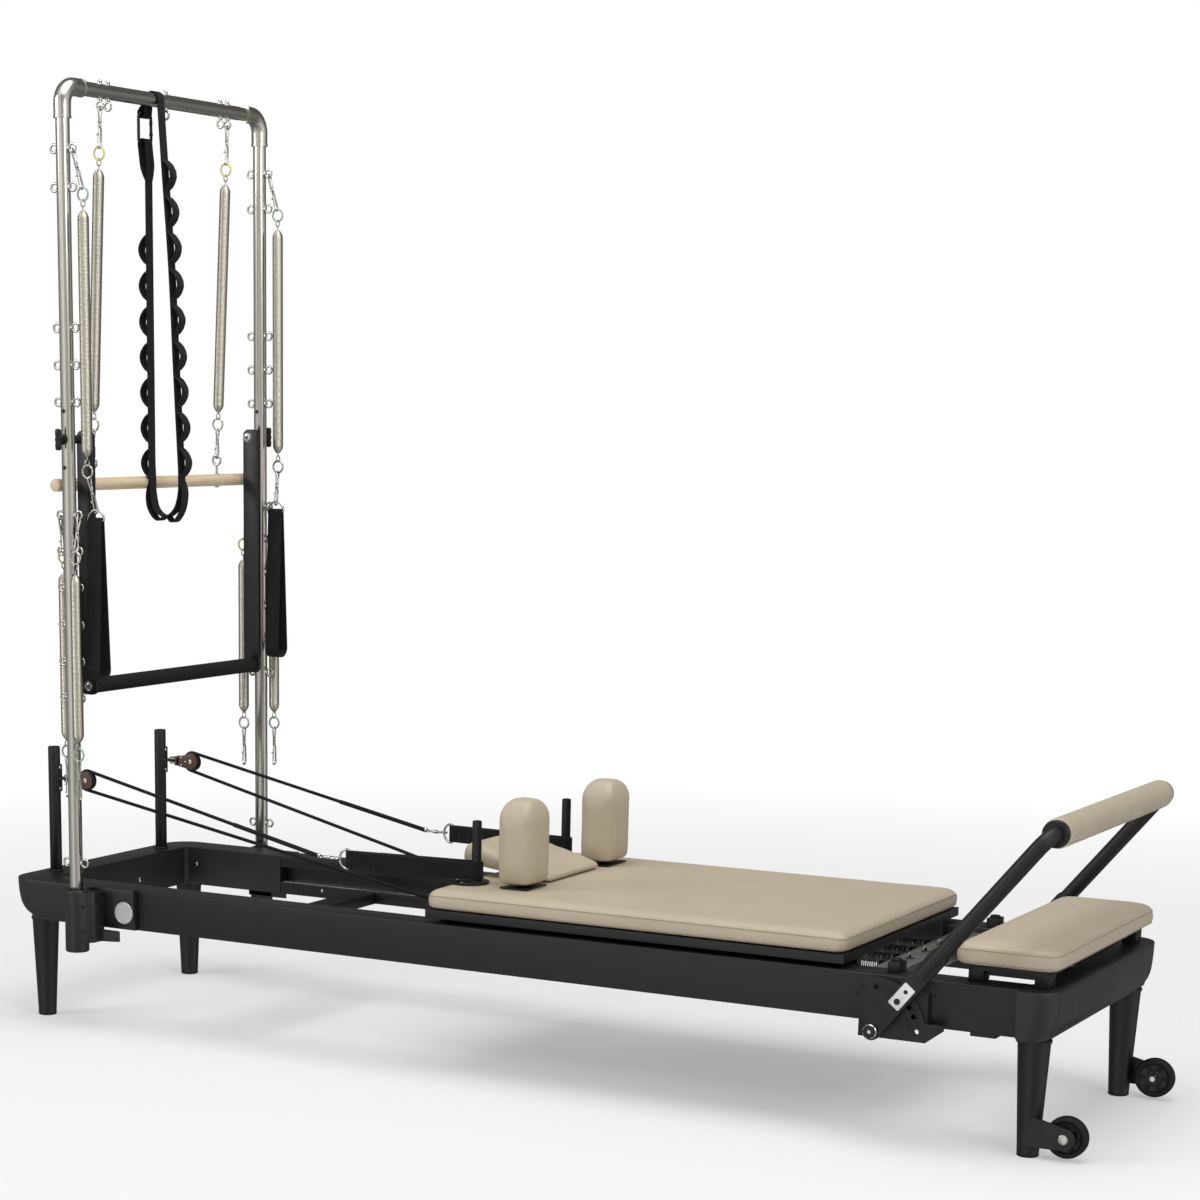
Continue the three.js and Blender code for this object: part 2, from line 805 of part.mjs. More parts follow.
// End caps, drawn for the foot end: rim at +X, arms toward -X
function capOutline({ endX, armX, halfWidth, rim, corner }, insetX, insetY) {
  const reach = endX - insetX;
  const wide = halfWidth - insetY;
  const radius = corner - (insetX + insetY) / 4;
  const innerX = endX - rim - capInnerRadius;
  const innerY = railInnerY - capInnerRadius;
  return [
    [armX, -railInnerY],
    [armX, -wide],
    ...arc(reach - radius, radius - wide, radius, 270, 360, cornerSteps + 1),
    ...arc(reach - radius, wide - radius, radius, 0, 90, cornerSteps + 1),
    [armX, wide],
    [armX, railInnerY],
    ...arc(innerX, innerY, capInnerRadius, 90, 0, cornerSteps),
    ...arc(innerX, -innerY, capInnerRadius, 0, -90, cornerSteps),
  ];
}

function endCap(plan, flareX, flareY, lipDrop) {
  const ring = (insetX, insetY, z) => {
    return capOutline(plan, insetX, insetY).map(([x, y]) => at(x, y, z));
  };
  const body = capFlareShares.map((share, i) => {
    return ring(flareX * share, flareY * share, railBottomZ + railHeight * capHeightShares[i]);
  });
  const foot = [ring(flareX + capLipInset, flareY + capLipInset, railBottomZ - lipDrop)];
  if (lipDrop > 0) foot.push(ring(flareX + capLipInset, flareY + capLipInset, railBottomZ));
  return loft([...foot, ...body]);
}

function headEndCap() {
  const plan = {
    endX: -headEndX,
    armX: -railHeadX,
    halfWidth: headCapHalfWidth,
    rim: headRim,
    corner: headCornerRadius,
  };
  return endCap(plan, headCapFlare, headCapSideFlare, 0).scale(-1, 1, 1);
}

function footEndCap() {
  const plan = {
    endX: footEndX,
    armX: railFootX,
    halfWidth: footCapHalfWidth,
    rim: footRim,
    corner: footCornerRadius,
  };
  return endCap(plan, footCapFlare, footCapSideFlare, footLipDrop);
}

function leg(topZ, growth = 0) {
  return turned([
    [0, 0],
    [legFootRadius - legFootEase + growth, 0],
    [legFootRadius + growth, legFootEase],
    [legTopRadius + growth, topZ - legCollarHeight],
    [legCollarRadius + growth, topZ - legCollarHeight],
    [legCollarRadius + growth, topZ],
    [0, topZ],
  ]);
}

function crossMember() {
  const reach = railInnerY - clearance;
  const half = crossMemberWidth / 2;
  return block(crossMemberX - half, crossMemberX + half, -reach, reach, railBottomZ, railBottomZ + crossMemberHeight);
}

// Y places of the bed springs, which share the slots of the spring bar
const springPlaces = Array.from({ length: springSlotCount }, (_, i) => (i - (springSlotCount - 1) / 2) * springSlotPitch);

// Spring bar: an aluminium angle with a row of slots for the bed springs' hooks
function springBar() {
  const reach = railInnerY - clearance;
  const low = springBarX - springBarWidth / 2;
  const high = low + springBarWidth;
  const under = springBarTopZ - springBarThickness;
  const top = block(low, high, -reach, reach, under, springBarTopZ);
  const web = block(high - springBarThickness, high, -reach, reach, springBarTopZ - springBarFlange, springBarTopZ);
  const slots = springPlaces.map((y) => {
    return rod(at(springBarX, y, under - overrun), at(springBarX, y, springBarTopZ + overrun), springSlotRadius);
  });
  return cut(join(top, web), ...slots);
}

// Riser for a rope pulley: a post with a lug that the pulley swivels on
function riser() {
  const post = turned([
    [0, frameTopZ + clearance],
    [riserRadius, frameTopZ + clearance],
    [riserRadius, riserTopZ - riserEase],
    [riserRadius - riserEase, riserTopZ],
    [0, riserTopZ],
  ]).translate(riserX, riserY, 0);
  const half = lugThickness / 2;
  const lug = slabXY(shapeOf(belt([riserX, riserY], lugRadius, [swivelX, riserY], lugRadius)), pulleyZ - half, pulleyZ + half);
  const bore = rod(
    at(swivelX, riserY, pulleyZ - half - overrun),
    at(swivelX, riserY, pulleyZ + half + overrun),
    boreRadius(swivelPinRadius),
  );
  return cut(join(post, lug), bore);
}

// Socket: a cup for the upright, a lug beside it and a foot that bolts to the cap's side
function socket() {
  const wall = headCapHalfWidth + clearance;
  const side = socketRadius * socketLugShare;
  const cup = rod(at(towerX, towerY, socketBottomZ), at(towerX, towerY, socketTopZ), socketRadius, roundSides);
  const lug = slabXY(shapeOf([
    [towerX - side, wall],
    [towerX + socketLugLength, wall],
    [towerX + socketLugLength, towerY + side - socketFootRise],
    [towerX + socketLugLength - socketFootRise, towerY + side],
    [towerX - side, towerY + side],
  ]), socketLugBottomZ, socketLugTopZ);
  const foot = slabXY(shapeOf([
    [towerX - side, wall],
    [towerX + socketLugLength + socketFootLength, wall],
    [towerX + socketLugLength, wall + socketFootRise],
    [towerX - side, wall + socketFootRise],
  ]), socketLugBottomZ, socketFootTopZ);
  const cupBlock = slabXY(shapeOf([
    [towerX - side, wall],
    [towerX + side, wall],
    [towerX + side, towerY],
    [towerX - side, towerY],
  ]), socketLugBottomZ, socketLugTopZ);
  const bore = rod(
    at(towerX, towerY, socketBottomZ + socketFloor),
    at(towerX, towerY, socketTopZ + overrun),
    boreRadius(tubeRadius, roundSides),
    roundSides,
  );
  return cut(join(cup, lug, foot, cupBlock), bore);
}

// Upright: tube, eye bolts fore and aft, height holes and the pivot of the push-through bar
function upright() {
  const foot = socketBottomZ + socketFloor + clearance;
  const tube = rod(at(towerX, towerY, foot), at(towerX, towerY, topBarZ - elbowBend), tubeRadius, roundSides);
  const rings = eyeletHeights.flatMap((height) => [-1, 1].map((way) => {
    return wireRing(at(towerX + way * eyeStandOff, towerY, height), eyeRingRadius, eyeWireRadius, at(0, 1, 0));
  }));
  const inner = pushArmY - pushArmThickness / 2 - clearance;
  const outer = pushArmY + pushArmThickness / 2 + clearance;
  const pin = rod(at(towerX, inner, pushPivotZ), at(towerX, outer, pushPivotZ), pushPinRadius);
  const head = rod(at(towerX, inner - pushHeadThickness, pushPivotZ), at(towerX, inner, pushPivotZ), pushHeadRadius);
  const spacer = rod(at(towerX, outer, pushPivotZ), at(towerX, towerY, pushPivotZ), pushHeadRadius);
  const reach = tubeRadius + overrun;
  const holes = [-1, 1].map((way) => {
    const z = pushPivotZ + way * adjustHolePitch;
    return rod(at(towerX, towerY - reach, z), at(towerX, towerY + reach, z), adjustHoleRadius, pinSides);
  });
  return cut(join(tube, ...rings, pin, head, spacer), ...holes);
}

// Top bar: the crossing tube, an elbow sleeve at each end and the eye bolts below
function topBar() {
  const reach = towerY - elbowReach + elbowBend;
  const across = rod(at(towerX, -reach, topBarZ), at(towerX, reach, topBarZ), tubeRadius, roundSides);
  const elbows = [-1, 1].map((side) => {
    const bend = roundedCorner(at(towerX, side * towerY, topBarZ), at(0, 0, 1), at(0, -side, 0), elbowBend, elbowSteps);
    const foot = at(towerX, side * towerY, topBarZ - elbowReach);
    return sweep([foot, ...bend, at(towerX, side * (towerY - elbowReach), topBarZ)], elbowRadius, roundSides);
  });
  const bores = [-1, 1].map((side) => rod(
    at(towerX, side * towerY, topBarZ - elbowReach - overrun),
    at(towerX, side * towerY, topBarZ - elbowBend + clearance),
    boreRadius(tubeRadius, roundSides),
    roundSides,
  ));
  const places = [0, ...barEyeOffsets, ...barEyeOffsets.map((offset) => -offset)];
  const eyes = places.flatMap((y) => [
    wireRing(at(towerX, y, topBarZ - barEyeDrop), eyeRingRadius, eyeWireRadius, at(0, 1, 0)),
    rod(at(towerX, y, topBarZ - barEyeDrop + eyeRingRadius), at(towerX, y, topBarZ), eyeWireRadius, wireLoopSides),
    rod(at(towerX, y, topBarZ), at(towerX, y, topBarZ + tubeRadius + barNutHeight), barNutRadius, wireLoopSides),
  ]);
  return cut(join(across, ...elbows, ...eyes), ...bores);
}

// Push-through bar: two flat arms, hung from their rear edge, and the crossing grip
function pushThroughBar() {
  const half = pushArmWidth / 2;
  const middle = (pushBarZ + pushPivotZ) / 2;
  const outline = roundedRectangle(half, pushArmLength / 2 + pushArmOverhang, pushArmCorner).map(([u, v]) => {
    return [pushArmX + u, middle + v];
  });
  const arms = [-1, 1].map((side) => {
    const y = side * pushArmY;
    return plateXZ(shapeOf(outline), y - pushArmThickness / 2, y + pushArmThickness / 2);
  });
  const grip = rod(at(pushArmX, -pushArmY, pushBarZ), at(pushArmX, pushArmY, pushBarZ), pushBarRadius, roundSides);
  const bores = [-1, 1].map((side) => rod(
    at(towerX, side * (pushArmY - pushArmThickness), pushPivotZ),
    at(towerX, side * (pushArmY + pushArmThickness), pushPivotZ),
    boreRadius(pushPinRadius),
  ));
  return cut(join(grip, ...arms), ...bores);
}

// Clamp knob on the outer side of the upright: collar, stem and T-bar
function clampKnob() {
  const wall = towerY + tubeRadius + clearance;
  const collarEnd = wall + knobCollarLength;
  const stemEnd = collarEnd + knobStemLength;
  const collar = rod(at(towerX, wall, pushPivotZ), at(towerX, collarEnd, pushPivotZ), knobCollarRadius);
  const stem = rod(at(towerX, wall + knobCollarLength / 2, pushPivotZ), at(towerX, stemEnd, pushPivotZ), knobStemRadius);
  const half = knobBarLength / 2;
  const tee = rod(at(towerX, stemEnd, pushPivotZ - half), at(towerX, stemEnd, pushPivotZ + half), knobBarRadius);
  return join(collar, stem, tee);
}

// A snap hook between two points: a long swivel eye with a gated eye below it
function snapHook(from, to, normal) {
  const along = to.clone().sub(from);
  const length = along.length();
  along.normalize();
  const half = hookWidth / 2;
  const gap = half - hookWall;
  const middle = length * hookEyeShare;
  const shape = holed(
    belt([0, half], half, [0, length - half], half, hookSteps),
    belt([0, half], gap, [0, middle - half], gap, hookSteps),
    belt([0, middle + half], gap, [0, length - half], gap, hookSteps),
  );
  const geometry = new THREE.ExtrudeGeometry(shape, { depth: hookThickness, bevelEnabled: false });
  const facing = normal.clone().addScaledVector(along, -along.dot(normal)).normalize();
  const turn = new THREE.Matrix4().makeBasis(along.clone().cross(facing), along, facing);
  return geometry.translate(0, 0, -hookThickness / 2).applyMatrix4(turn).translate(from.x, from.y, from.z);
}

// A hung spring: hook, colour ring, wound body with an eye at each end, second ring and lower hook
function springUnit({ hangCentre, hangRadius, upperRing, top, bottom, lowerRing, lowerEnd, lowerNormal }) {
  const along = bottom.clone().sub(top).normalize();
  const eyeGap = linkRingRadius + springEyeRadius - linkWireRadius;
  const upperEye = upperRing.clone().addScaledVector(along, eyeGap);
  const lowerEye = lowerRing.clone().addScaledVector(along, -eyeGap);
  const upperNeck = upperEye.distanceTo(top) - springEyeRadius;
  const lowerNeck = lowerEye.distanceTo(bottom) - springEyeRadius;
  const length = bottom.distanceTo(top);
  const body = turned([
    [0, -upperNeck],
    [springNeckRadius, -upperNeck],
    [springNeckRadius, 0],
    [springEndRadius, springShoulder],
    [springRadius, springTaper],
    [springRadius, length - springTaper],
    [springEndRadius, length - springShoulder],
    [springNeckRadius, length],
    [springNeckRadius, length + lowerNeck],
    [0, length + lowerNeck],
  ], tubeSides);
  body.applyQuaternion(new THREE.Quaternion().setFromUnitVectors(at(0, 0, 1), along)).translate(top.x, top.y, top.z);
  const down = upperRing.clone().sub(hangCentre).normalize();
  const wire = hangCentre.clone().addScaledVector(at(down.x, 0, down.z).normalize(), hangRadius);
  const hookStart = wire.addScaledVector(down, -eyeWireRadius - hookWall - hookPlay);
  const hookEnd = upperRing.clone().addScaledVector(down, hookWall - linkRingRadius);
  const lowerWay = lowerEnd.clone().sub(lowerRing).normalize();
  const lowerStart = lowerRing.clone().addScaledVector(lowerWay, linkRingRadius - hookWall);
  return join(
    snapHook(hookStart, hookEnd, at(1, 0, 0)),
    wireRing(upperRing, linkRingRadius, linkWireRadius, at(0, 1, 0)),
    wireRing(upperEye, springEyeRadius, linkWireRadius, at(1, 0, 0)),
    body,
    wireRing(lowerEye, springEyeRadius, linkWireRadius, at(1, 0, 0)),
    wireRing(lowerRing, linkRingRadius, linkWireRadius, at(0, 1, 0)),
    snapHook(lowerStart, lowerEnd, lowerNormal),
  );
}

// Roll-down spring: it leans back from the top bar's eye to the bar behind the uprights
function rollSpring() {
  const hangCentre = at(towerX, rollSpringY, topBarZ - barEyeDrop);
  const lean = at(towerX - rollBarSetBack, rollSpringY, rollEyeZ).sub(hangCentre);
  const place = (z) => hangCentre.clone().addScaledVector(lean, (z - hangCentre.z) / lean.z);
  const way = lean.clone().normalize();
  const lowerWire = place(rollEyeZ).addScaledVector(way, -rollEyeRadius);
  return springUnit({
    hangCentre,
    hangRadius: eyeRingRadius,
    upperRing: place(rollRingTopZ),
    top: place(rollSpringTopZ),
    bottom: place(rollSpringBottomZ),
    lowerRing: place(rollRingBottomZ),
    lowerEnd: lowerWire.addScaledVector(way, eyeWireRadius + hookWall + hookPlay),
    lowerNormal: at(1, 0, 0),
  });
}

// Roll-down bar: a turned wooden rod with an eye bolt for each spring
function rollDownBar() {
  const x = towerX - rollBarSetBack;
  const bar = rod(at(x, -rollBarHalfLength, rollBarZ), at(x, rollBarHalfLength, rollBarZ), rollBarRadius, roundSides);
  const eyes = [-1, 1].flatMap((side) => [
    wireRing(at(x, side * rollSpringY, rollEyeZ), rollEyeRadius, eyeWireRadius, at(0, 1, 0)),
    rod(at(x, side * rollSpringY, rollBarZ), at(x, side * rollSpringY, rollEyeZ - rollEyeRadius), eyeWireRadius, wireLoopSides),
  ]);
  return join(bar, ...eyes);
}

// Arm spring on a front eye, its lower hook in the loop handle's ring
function armSpring() {
  const x = towerX + armSpringOffsetX;
  const bow = at(handleX, handleY, handleBarZ + ringBowRadius);
  const lowerRing = at(x, towerY, armRingBottomZ);
  const way = bow.clone().sub(lowerRing).normalize();
  return springUnit({
    hangCentre: at(towerX + eyeStandOff, towerY, armHangZ),
    hangRadius: eyeRingRadius,
    upperRing: at(x, towerY, armRingTopZ),
    top: at(x, towerY, armSpringTopZ),
    bottom: at(x, towerY, armSpringBottomZ),
    lowerRing,
    lowerEnd: bow.addScaledVector(way, ringBarRadius + hookWall + bowPlay),
    lowerNormal: at(1, 0, 0),
  });
}

// Leg spring on a lower eye, in front of the upright or behind it
function legSpring(way, offsetX, offsetY) {
  const place = (z) => at(towerX + way * offsetX, towerY + offsetY, z);
  return springUnit({
    hangCentre: at(towerX + way * eyeStandOff, towerY, legHangZ),
    hangRadius: eyeRingRadius,
    upperRing: place(legRingTopZ),
    top: place(legSpringTopZ),
    bottom: place(legSpringBottomZ),
    lowerRing: place(legRingBottomZ),
    lowerEnd: place(legHookEndZ),
    lowerNormal: at(1, 0, 0),
  });
}

// A D-ring: a straight bar that the webbing wraps, and a bow
function bowRing(centre, barWay, bowWay) {
  const points = arc(0, 0, ringBowRadius, 0, 180, ringBowSteps).map(([u, v]) => {
    return centre.clone().addScaledVector(barWay, u).addScaledVector(bowWay, v);
  });
  return wireLoop(points, barWay.clone().cross(bowWay), ringBarRadius);
}

// Loop handle of webbing with its D-ring
function towerHandle() {
  const half = handleThickness / 2;
  const top = [handleY, handleBarZ];
  const bottom = [handleY, handleBottomZ + half + handleLoopRadius];
  const band = beltBand(bottom, handleLoopRadius, top, ringBarRadius + half - webbingGrip, handleThickness);
  const webbing = barYZ(band, handleX - handleWidth / 2, handleX + handleWidth / 2);
  return join(webbing, bowRing(at(handleX, handleY, handleBarZ), at(1, 0, 0), at(0, 0, 1)));
}

// Loop strap over the top bar: two strands with sewn finger loops, its ends joined behind the bar
function strapRearX() {
  return towerX - tubeRadius - clearance - strapThickness / 2 - strapSlack;
}

function strapFrontLine() {
  return strapReachShares.map((share, i) => {
    const z = strapBottomZ + (topBarZ - strapBottomZ) * strapHeightShares[i];
    return [towerX + strapFrontReach * share, z];
  });
}

function strapFrontX(z) {
  const strand = strapFrontLine().slice(0, strapStrandCount);
  const above = strand.filter((point) => point[1] > z).length;
  const next = THREE.MathUtils.clamp(above, 1, strand.length - 1);
  const [a, b] = [strand[next - 1], strand[next]];
  return a[0] + ((b[0] - a[0]) * (z - a[1])) / (b[1] - a[1]);
}

function fingerLoop(xAt, z, length, bulge, way) {
  const line = Array.from({ length: strapLoopSteps + 1 }, (_, i) => {
    const height = z + length / 2 - (length * i) / strapLoopSteps;
    return [xAt(height) + way * bulge * sine((180 * i) / strapLoopSteps), height];
  });
  return openRibbon(line, strapThickness);
}

function loopStrap() {
  const rearX = strapRearX();
  const clipX = rearX - carabinerSetBack;
  const clipRadius = carabinerWire + clipGap + strapThickness / 2;
  const overBar = (tubeRadius + clearance + strapThickness / 2) / cosine(90 / strapTopSteps);
  const over = arc(towerX, topBarZ, overBar, 180, 0, strapTopSteps).slice(1);
  const wireBottomZ = carabinerZ - carabinerHeight;
  const line = [[rearX, clipLoopZ], [rearX, topBarZ], ...over, ...strapFrontLine(), [rearX, wireBottomZ - endLoopDrop]];
  const clip = beltBand([rearX, clipLoopZ], strapThickness, [clipX, carabinerZ], clipRadius, strapThickness);
  const endLoop = [
    ...arc(clipX, wireBottomZ, clipRadius, 180, 0, strapTopSteps),
    ...endLoopPoints.map(([x, z]) => [clipX + x, wireBottomZ + z]),
  ];
  const lowLoops = [lowFrontLoopPoints, lowRearLoopPoints].map((points) => {
    return openRibbon(points.map(([x, z]) => [towerX + x, strapBottomZ + z]), strapThickness);
  });
  const rear = Array.from({ length: strapRearLoopCount }, (_, i) => {
    return fingerLoop(() => rearX, strapRearLoopTopZ - i * strapLoopPitch, strapLoopLength, strapBulge, -1);
  });
  const front = Array.from({ length: strapFrontLoopCount }, (_, i) => {
    return fingerLoop(strapFrontX, strapFrontLoopTopZ - i * strapLoopPitch, strapLoopLength, strapBulge, 1);
  });
  const outlines = [openRibbon(line, strapThickness), closedRibbon(endLoop, strapThickness), clip, ...lowLoops, ...rear, ...front];
  return join(...outlines.map((outline) => plateXZ(outline, strapY - strapWidth / 2, strapY + strapWidth / 2)));
}

// Carabiner that joins the strap's two ends
function strapCarabiner() {
  const across = at(cosine(carabinerTurn), sine(carabinerTurn), 0);
  const centre = at(strapRearX() - carabinerSetBack, strapY, carabinerZ - carabinerHeight / 2);
  const outline = roundedRectangle(carabinerWidth / 2, carabinerHeight / 2, carabinerCorner, cornerSteps);
  const points = outline.map(([u, v]) => centre.clone().addScaledVector(across, u).add(at(0, 0, v)));
  return wireLoop(points, across.clone().cross(at(0, 0, 1)), carabinerWire, pinSides);
}

// Pulley block: cheeks, bridge, swivel fork and the sheave's pin
function pulleyBlock() {
  const inner = sheaveWidth / 2 + runningClearance;
  const outer = inner + cheekThickness;
  const outline = shapeOf(belt([cheekStartX, pulleyZ], cheekRadius, [pulleyX, pulleyZ], cheekRadius));
  const cheeks = [-1, 1].map((way) => {
    const [low, high] = way > 0 ? [inner, outer] : [-outer, -inner];
    return plateXZ(outline, riserY + low, riserY + high);
  });
  const bridgeX = cheekStartX - cheekRadius + runningClearance;
  const bridge = block(bridgeX, bridgeX + bridgeLength, riserY - outer, riserY + outer, pulleyZ - bridgeHalfHeight, pulleyZ + bridgeHalfHeight);
  const gap = lugThickness / 2 + clearance;
  const tongues = [-1, 1].map((way) => {
    const [low, high] = way > 0 ? [gap, gap + tongueThickness] : [-gap - tongueThickness, -gap];
    const tip = belt([swivelX, riserY], tongueHalfWidth, [bridgeX + tongueHalfWidth, riserY], tongueHalfWidth);
    return slabXY(shapeOf(tip), pulleyZ + low, pulleyZ + high);
  });
  const pinReach = gap + tongueThickness;
  const swivel = rod(at(swivelX, riserY, pulleyZ - pinReach), at(swivelX, riserY, pulleyZ + pinReach), swivelPinRadius);
  const pin = rod(at(pulleyX, riserY - outer, pulleyZ), at(pulleyX, riserY + outer, pulleyZ), sheavePinRadius);
  return join(...cheeks, bridge, ...tongues, swivel, pin);
}

// A wheel shape about Z with a bore, laid over so that its axle runs along Y
function wheelAlongY(profile) {
  return turned([...profile, profile[0]]).rotateX(Math.PI / 2);
}

function sheave() {
  const bore = boreRadius(sheavePinRadius, roundSides);
  const half = sheaveWidth / 2;
  return wheelAlongY([
    [bore, -half],
    [sheaveRadius, -half],
    [sheaveRadius, -sheaveLipWidth / 2],
    [sheaveGrooveRadius, -sheaveFloorWidth / 2],
    [sheaveGrooveRadius, sheaveFloorWidth / 2],
    [sheaveRadius, sheaveLipWidth / 2],
    [sheaveRadius, half],
    [bore, half],
  ]).translate(pulleyX, riserY, pulleyZ);
}

// Points where the handle loop's ring, the rope's hook and the rope meet
function cuffHeading() {
  return at(cuffEndX - pegX, cuffEndY - pegY, 0).normalize();
}

function ropeHookEnd() {
  const reach = ringBowRadius - ringBarRadius - hookWall - hookPlay;
  return at(cuffEndX, cuffEndY, cuffZ).addScaledVector(cuffHeading(), reach);
}

// Rope: from the carriage round the sheave to the snap hook, with a doubled sleeve before the hook
function rope() {
  const radius = (sheaveGrooveRadius + ropeRadius + clearance) / cosine(90 / ropeWrapSteps);
  const wrap = arc(0, 0, radius, ropeTopAngle, ropeBottomAngle, ropeWrapSteps).map(([x, z]) => {
    return at(pulleyX + x, riserY, pulleyZ + z);
  });
  const hookEnd = ropeHookEnd();
  const hookStart = hookEnd.clone().addScaledVector(cuffHeading(), ropeHookLength);
  const anchor = at(carriageHeadX - clearance, ropeAnchorY, ropeAnchorZ);
  const between = (from, to) => Array.from({ length: ropeRunSteps }, (_, i) => {
    return from.clone().lerp(to, (i + 1) / ropeRunSteps);
  });
  const hookPoint = hookStart.clone().addScaledVector(cuffHeading(), -hookWall);
  const upper = [hookPoint, ...between(hookPoint, wrap[0])];
  const lower = [...between(wrap[ropeWrapSteps], anchor.clone().add(at(-ropeLead, 0, 0))), anchor];
  const line = sweep([...upper, ...wrap.slice(1), ...lower], ropeRadius, ropeSides);
  const back = wrap[0].clone().sub(hookPoint).normalize();
  const sleeve = rod(hookPoint, hookPoint.clone().addScaledVector(back, sleeveLength), sleeveRadius, ropeSides);
  return join(line, sleeve, snapHook(hookStart, hookEnd, at(0, 0, 1)));
}

// Handle strap: webbing on edge, looped round the peg and through its D-ring
function handleStrap() {
  const half = cuffThickness / 2;
  const pegLoop = (pegRadius + clearance) / cosine(90 / cuffSteps) + half;
  const band = beltBand([pegX, pegY], pegLoop, [cuffEndX, cuffEndY], ringBarRadius + half - webbingGrip, cuffThickness, cuffSteps);
  const webbing = slabXY(band, cuffZ - cuffWidth / 2, cuffZ + cuffWidth / 2);
  return join(webbing, bowRing(at(cuffEndX, cuffEndY, cuffZ), at(0, 0, 1), cuffHeading()));
}

// Carriage frame: board, runners with rollers, the end plate and the springs' anchor
function carriageFrame() {
  const head = carriageHeadX + boardInset;
  const foot = carriageFootX - boardInset;
  const wide = carriageHalfWidth - boardInset;
  const board = block(head, foot, -wide, wide, boardBottomZ, boardBottomZ + boardThickness);
  const overlap = boardBottomZ + boardThickness / 2;
  const runners = [-1, 1].flatMap((side) => {
    const [low, high] = side > 0 ? [runnerOuterY - runnerWidth, runnerOuterY] : [-runnerOuterY, runnerWidth - runnerOuterY];
    const runner = block(carriageHeadX, foot, low, high, runnerBottomZ, overlap);
    const trackZ = railBottomZ + trackBottomRise + trackHeight / 2;
    const rollers = [head + rollerInset, foot - rollerInset].map((x) => {
      const from = side * (runnerOuterY - runnerWidth / 2);
      return rod(at(x, from, trackZ), at(x, side * (railInnerY + rollerReach), trackZ), rollerRadius, roundSides);
    });
    return [runner, ...rollers];
  });
  const plate = block(carriageHeadX, carriageHeadX + endPlateThickness, -runnerOuterY, runnerOuterY, runnerBottomZ, overlap);
  const anchor = block(springAnchorX - endPlateThickness, springAnchorX, -runnerOuterY, runnerOuterY, runnerBottomZ, overlap);
  return join(board, ...runners, plate, anchor);
}

function carriagePad() {
  const middle = (carriageHeadX + carriageFootX) / 2;
  const half = (carriageFootX - carriageHeadX) / 2;
  const pad = cushion(half, carriageHalfWidth, padThickness, padCornerRadius, padCrown);
  return pad.translate(middle, 0, boardBottomZ + boardThickness + clearance);
}

const padTopZ = boardBottomZ + boardThickness + clearance + padThickness + padCrown;

// Bed springs: a carrier against the carriage and springs hooked down through the spring bar's slots
function carriageSprings() {
  const start = springAnchorX + clearance;
  const carrier = block(start, start + carrierLength, -carrierHalfWidth, carrierHalfWidth, bedSpringZ - carrierHalfHeight, bedSpringZ + carrierHalfHeight);
  const springs = springPlaces.flatMap((y) => [
    rod(at(start + carrierLength / 2, y, bedSpringZ), at(bedSpringFootX, y, bedSpringZ), bedSpringRadius),
    rod(at(bedSpringFootX - springTaper, y, bedSpringZ), at(springBarX + bedHookRadius, y, bedSpringZ), bedHookRadius, pinSides),
    rod(at(springBarX, y, bedSpringZ), at(springBarX, y, springBarTopZ + bedHookRise), bedHookRadius, pinSides),
  ]);
  return join(carrier, ...springs);
}

// Shoulder rest: an upright pad, rounded over at the top, on a thin plate
function shoulderRest() {
  const halfX = (restFootX - restHeadX) / 2;
  const halfY = (restOuterY - restInnerY) / 2;
  const ring = (insetX, insetY, z) => {
    const radius = Math.min(restCornerRadius, (halfY - insetY) * restCornerShare, (halfX - insetX) * restCornerShare);
    return roundedRectangle(halfX - insetX, halfY - insetY, radius, cushionCornerSteps).map(([x, y]) => at(x, y, z));
  };
  const rounds = restRoundAngles.map((angle) => ring(
    restFaceRadius * (1 - cosine(angle)),
    restTopRadius * (1 - cosine(angle)),
    restTopZ - restTopRadius * (1 - sine(angle)),
  ));
  const pad = loft([
    ring(restDraw * 2, restDraw * 2, restBottomZ),
    ring(restDraw, restDraw, restBottomZ + restDraw * 2),
    ring(0, 0, restBottomZ + restTopRadius),
    ring(0, 0, restTopZ - restTopRadius),
    ...rounds,
  ]);
  const [plateX, plateY] = [halfX - restPlateInset, halfY - restPlateInset];
  const plate = block(-plateX, plateX, -plateY, plateY, padTopZ + clearance, restBottomZ + restDraw);
  return join(pad, plate).translate((restHeadX + restFootX) / 2, (restInnerY + restOuterY) / 2, 0);
}

// Strap peg: a post on a flat disc that is set toward the head end
function strapPeg() {
  const base = padTopZ + clearance;
  const post = turned([
    [0, base],
    [pegFootRadius, base],
    [pegFootRadius, base + pegDiscThickness],
    [pegRadius, base + pegDiscThickness],
    [pegRadius, pegTopZ - pegEase],
    [pegRadius - pegEase, pegTopZ],
    [0, pegTopZ],
  ]).translate(pegX, pegY, 0);
  const disc = rod(at(pegX - pegDiscShift, pegY, base), at(pegX - pegDiscShift, pegY, base + pegDiscThickness), pegDiscRadius, roundSides);
  return join(post, disc);
}

// Headrest: a tapered pad, raised at its head end and hinged along its thin foot edge
function headrest() {
  const half = (headrestFootX - headrestHeadX) / 2;
  const pad = cushion(half, headrestHalfWidth, headrestThickness, headrestCornerRadius, padCrown);
  pad.translate(-half, 0, 0);
  const place = pad.attributes.position;
  const footShare = headrestFootThickness / headrestThickness;
  for (let i = 0; i < place.count; i += 1) {
    const headShare = -place.getX(i) / (2 * half);
    place.setZ(i, place.getZ(i) * THREE.MathUtils.lerp(footShare, 1, headShare));
  }
  return pad.rotateY(radians(headrestTilt)).translate(headrestFootX, 0, padTopZ + clearance);
}

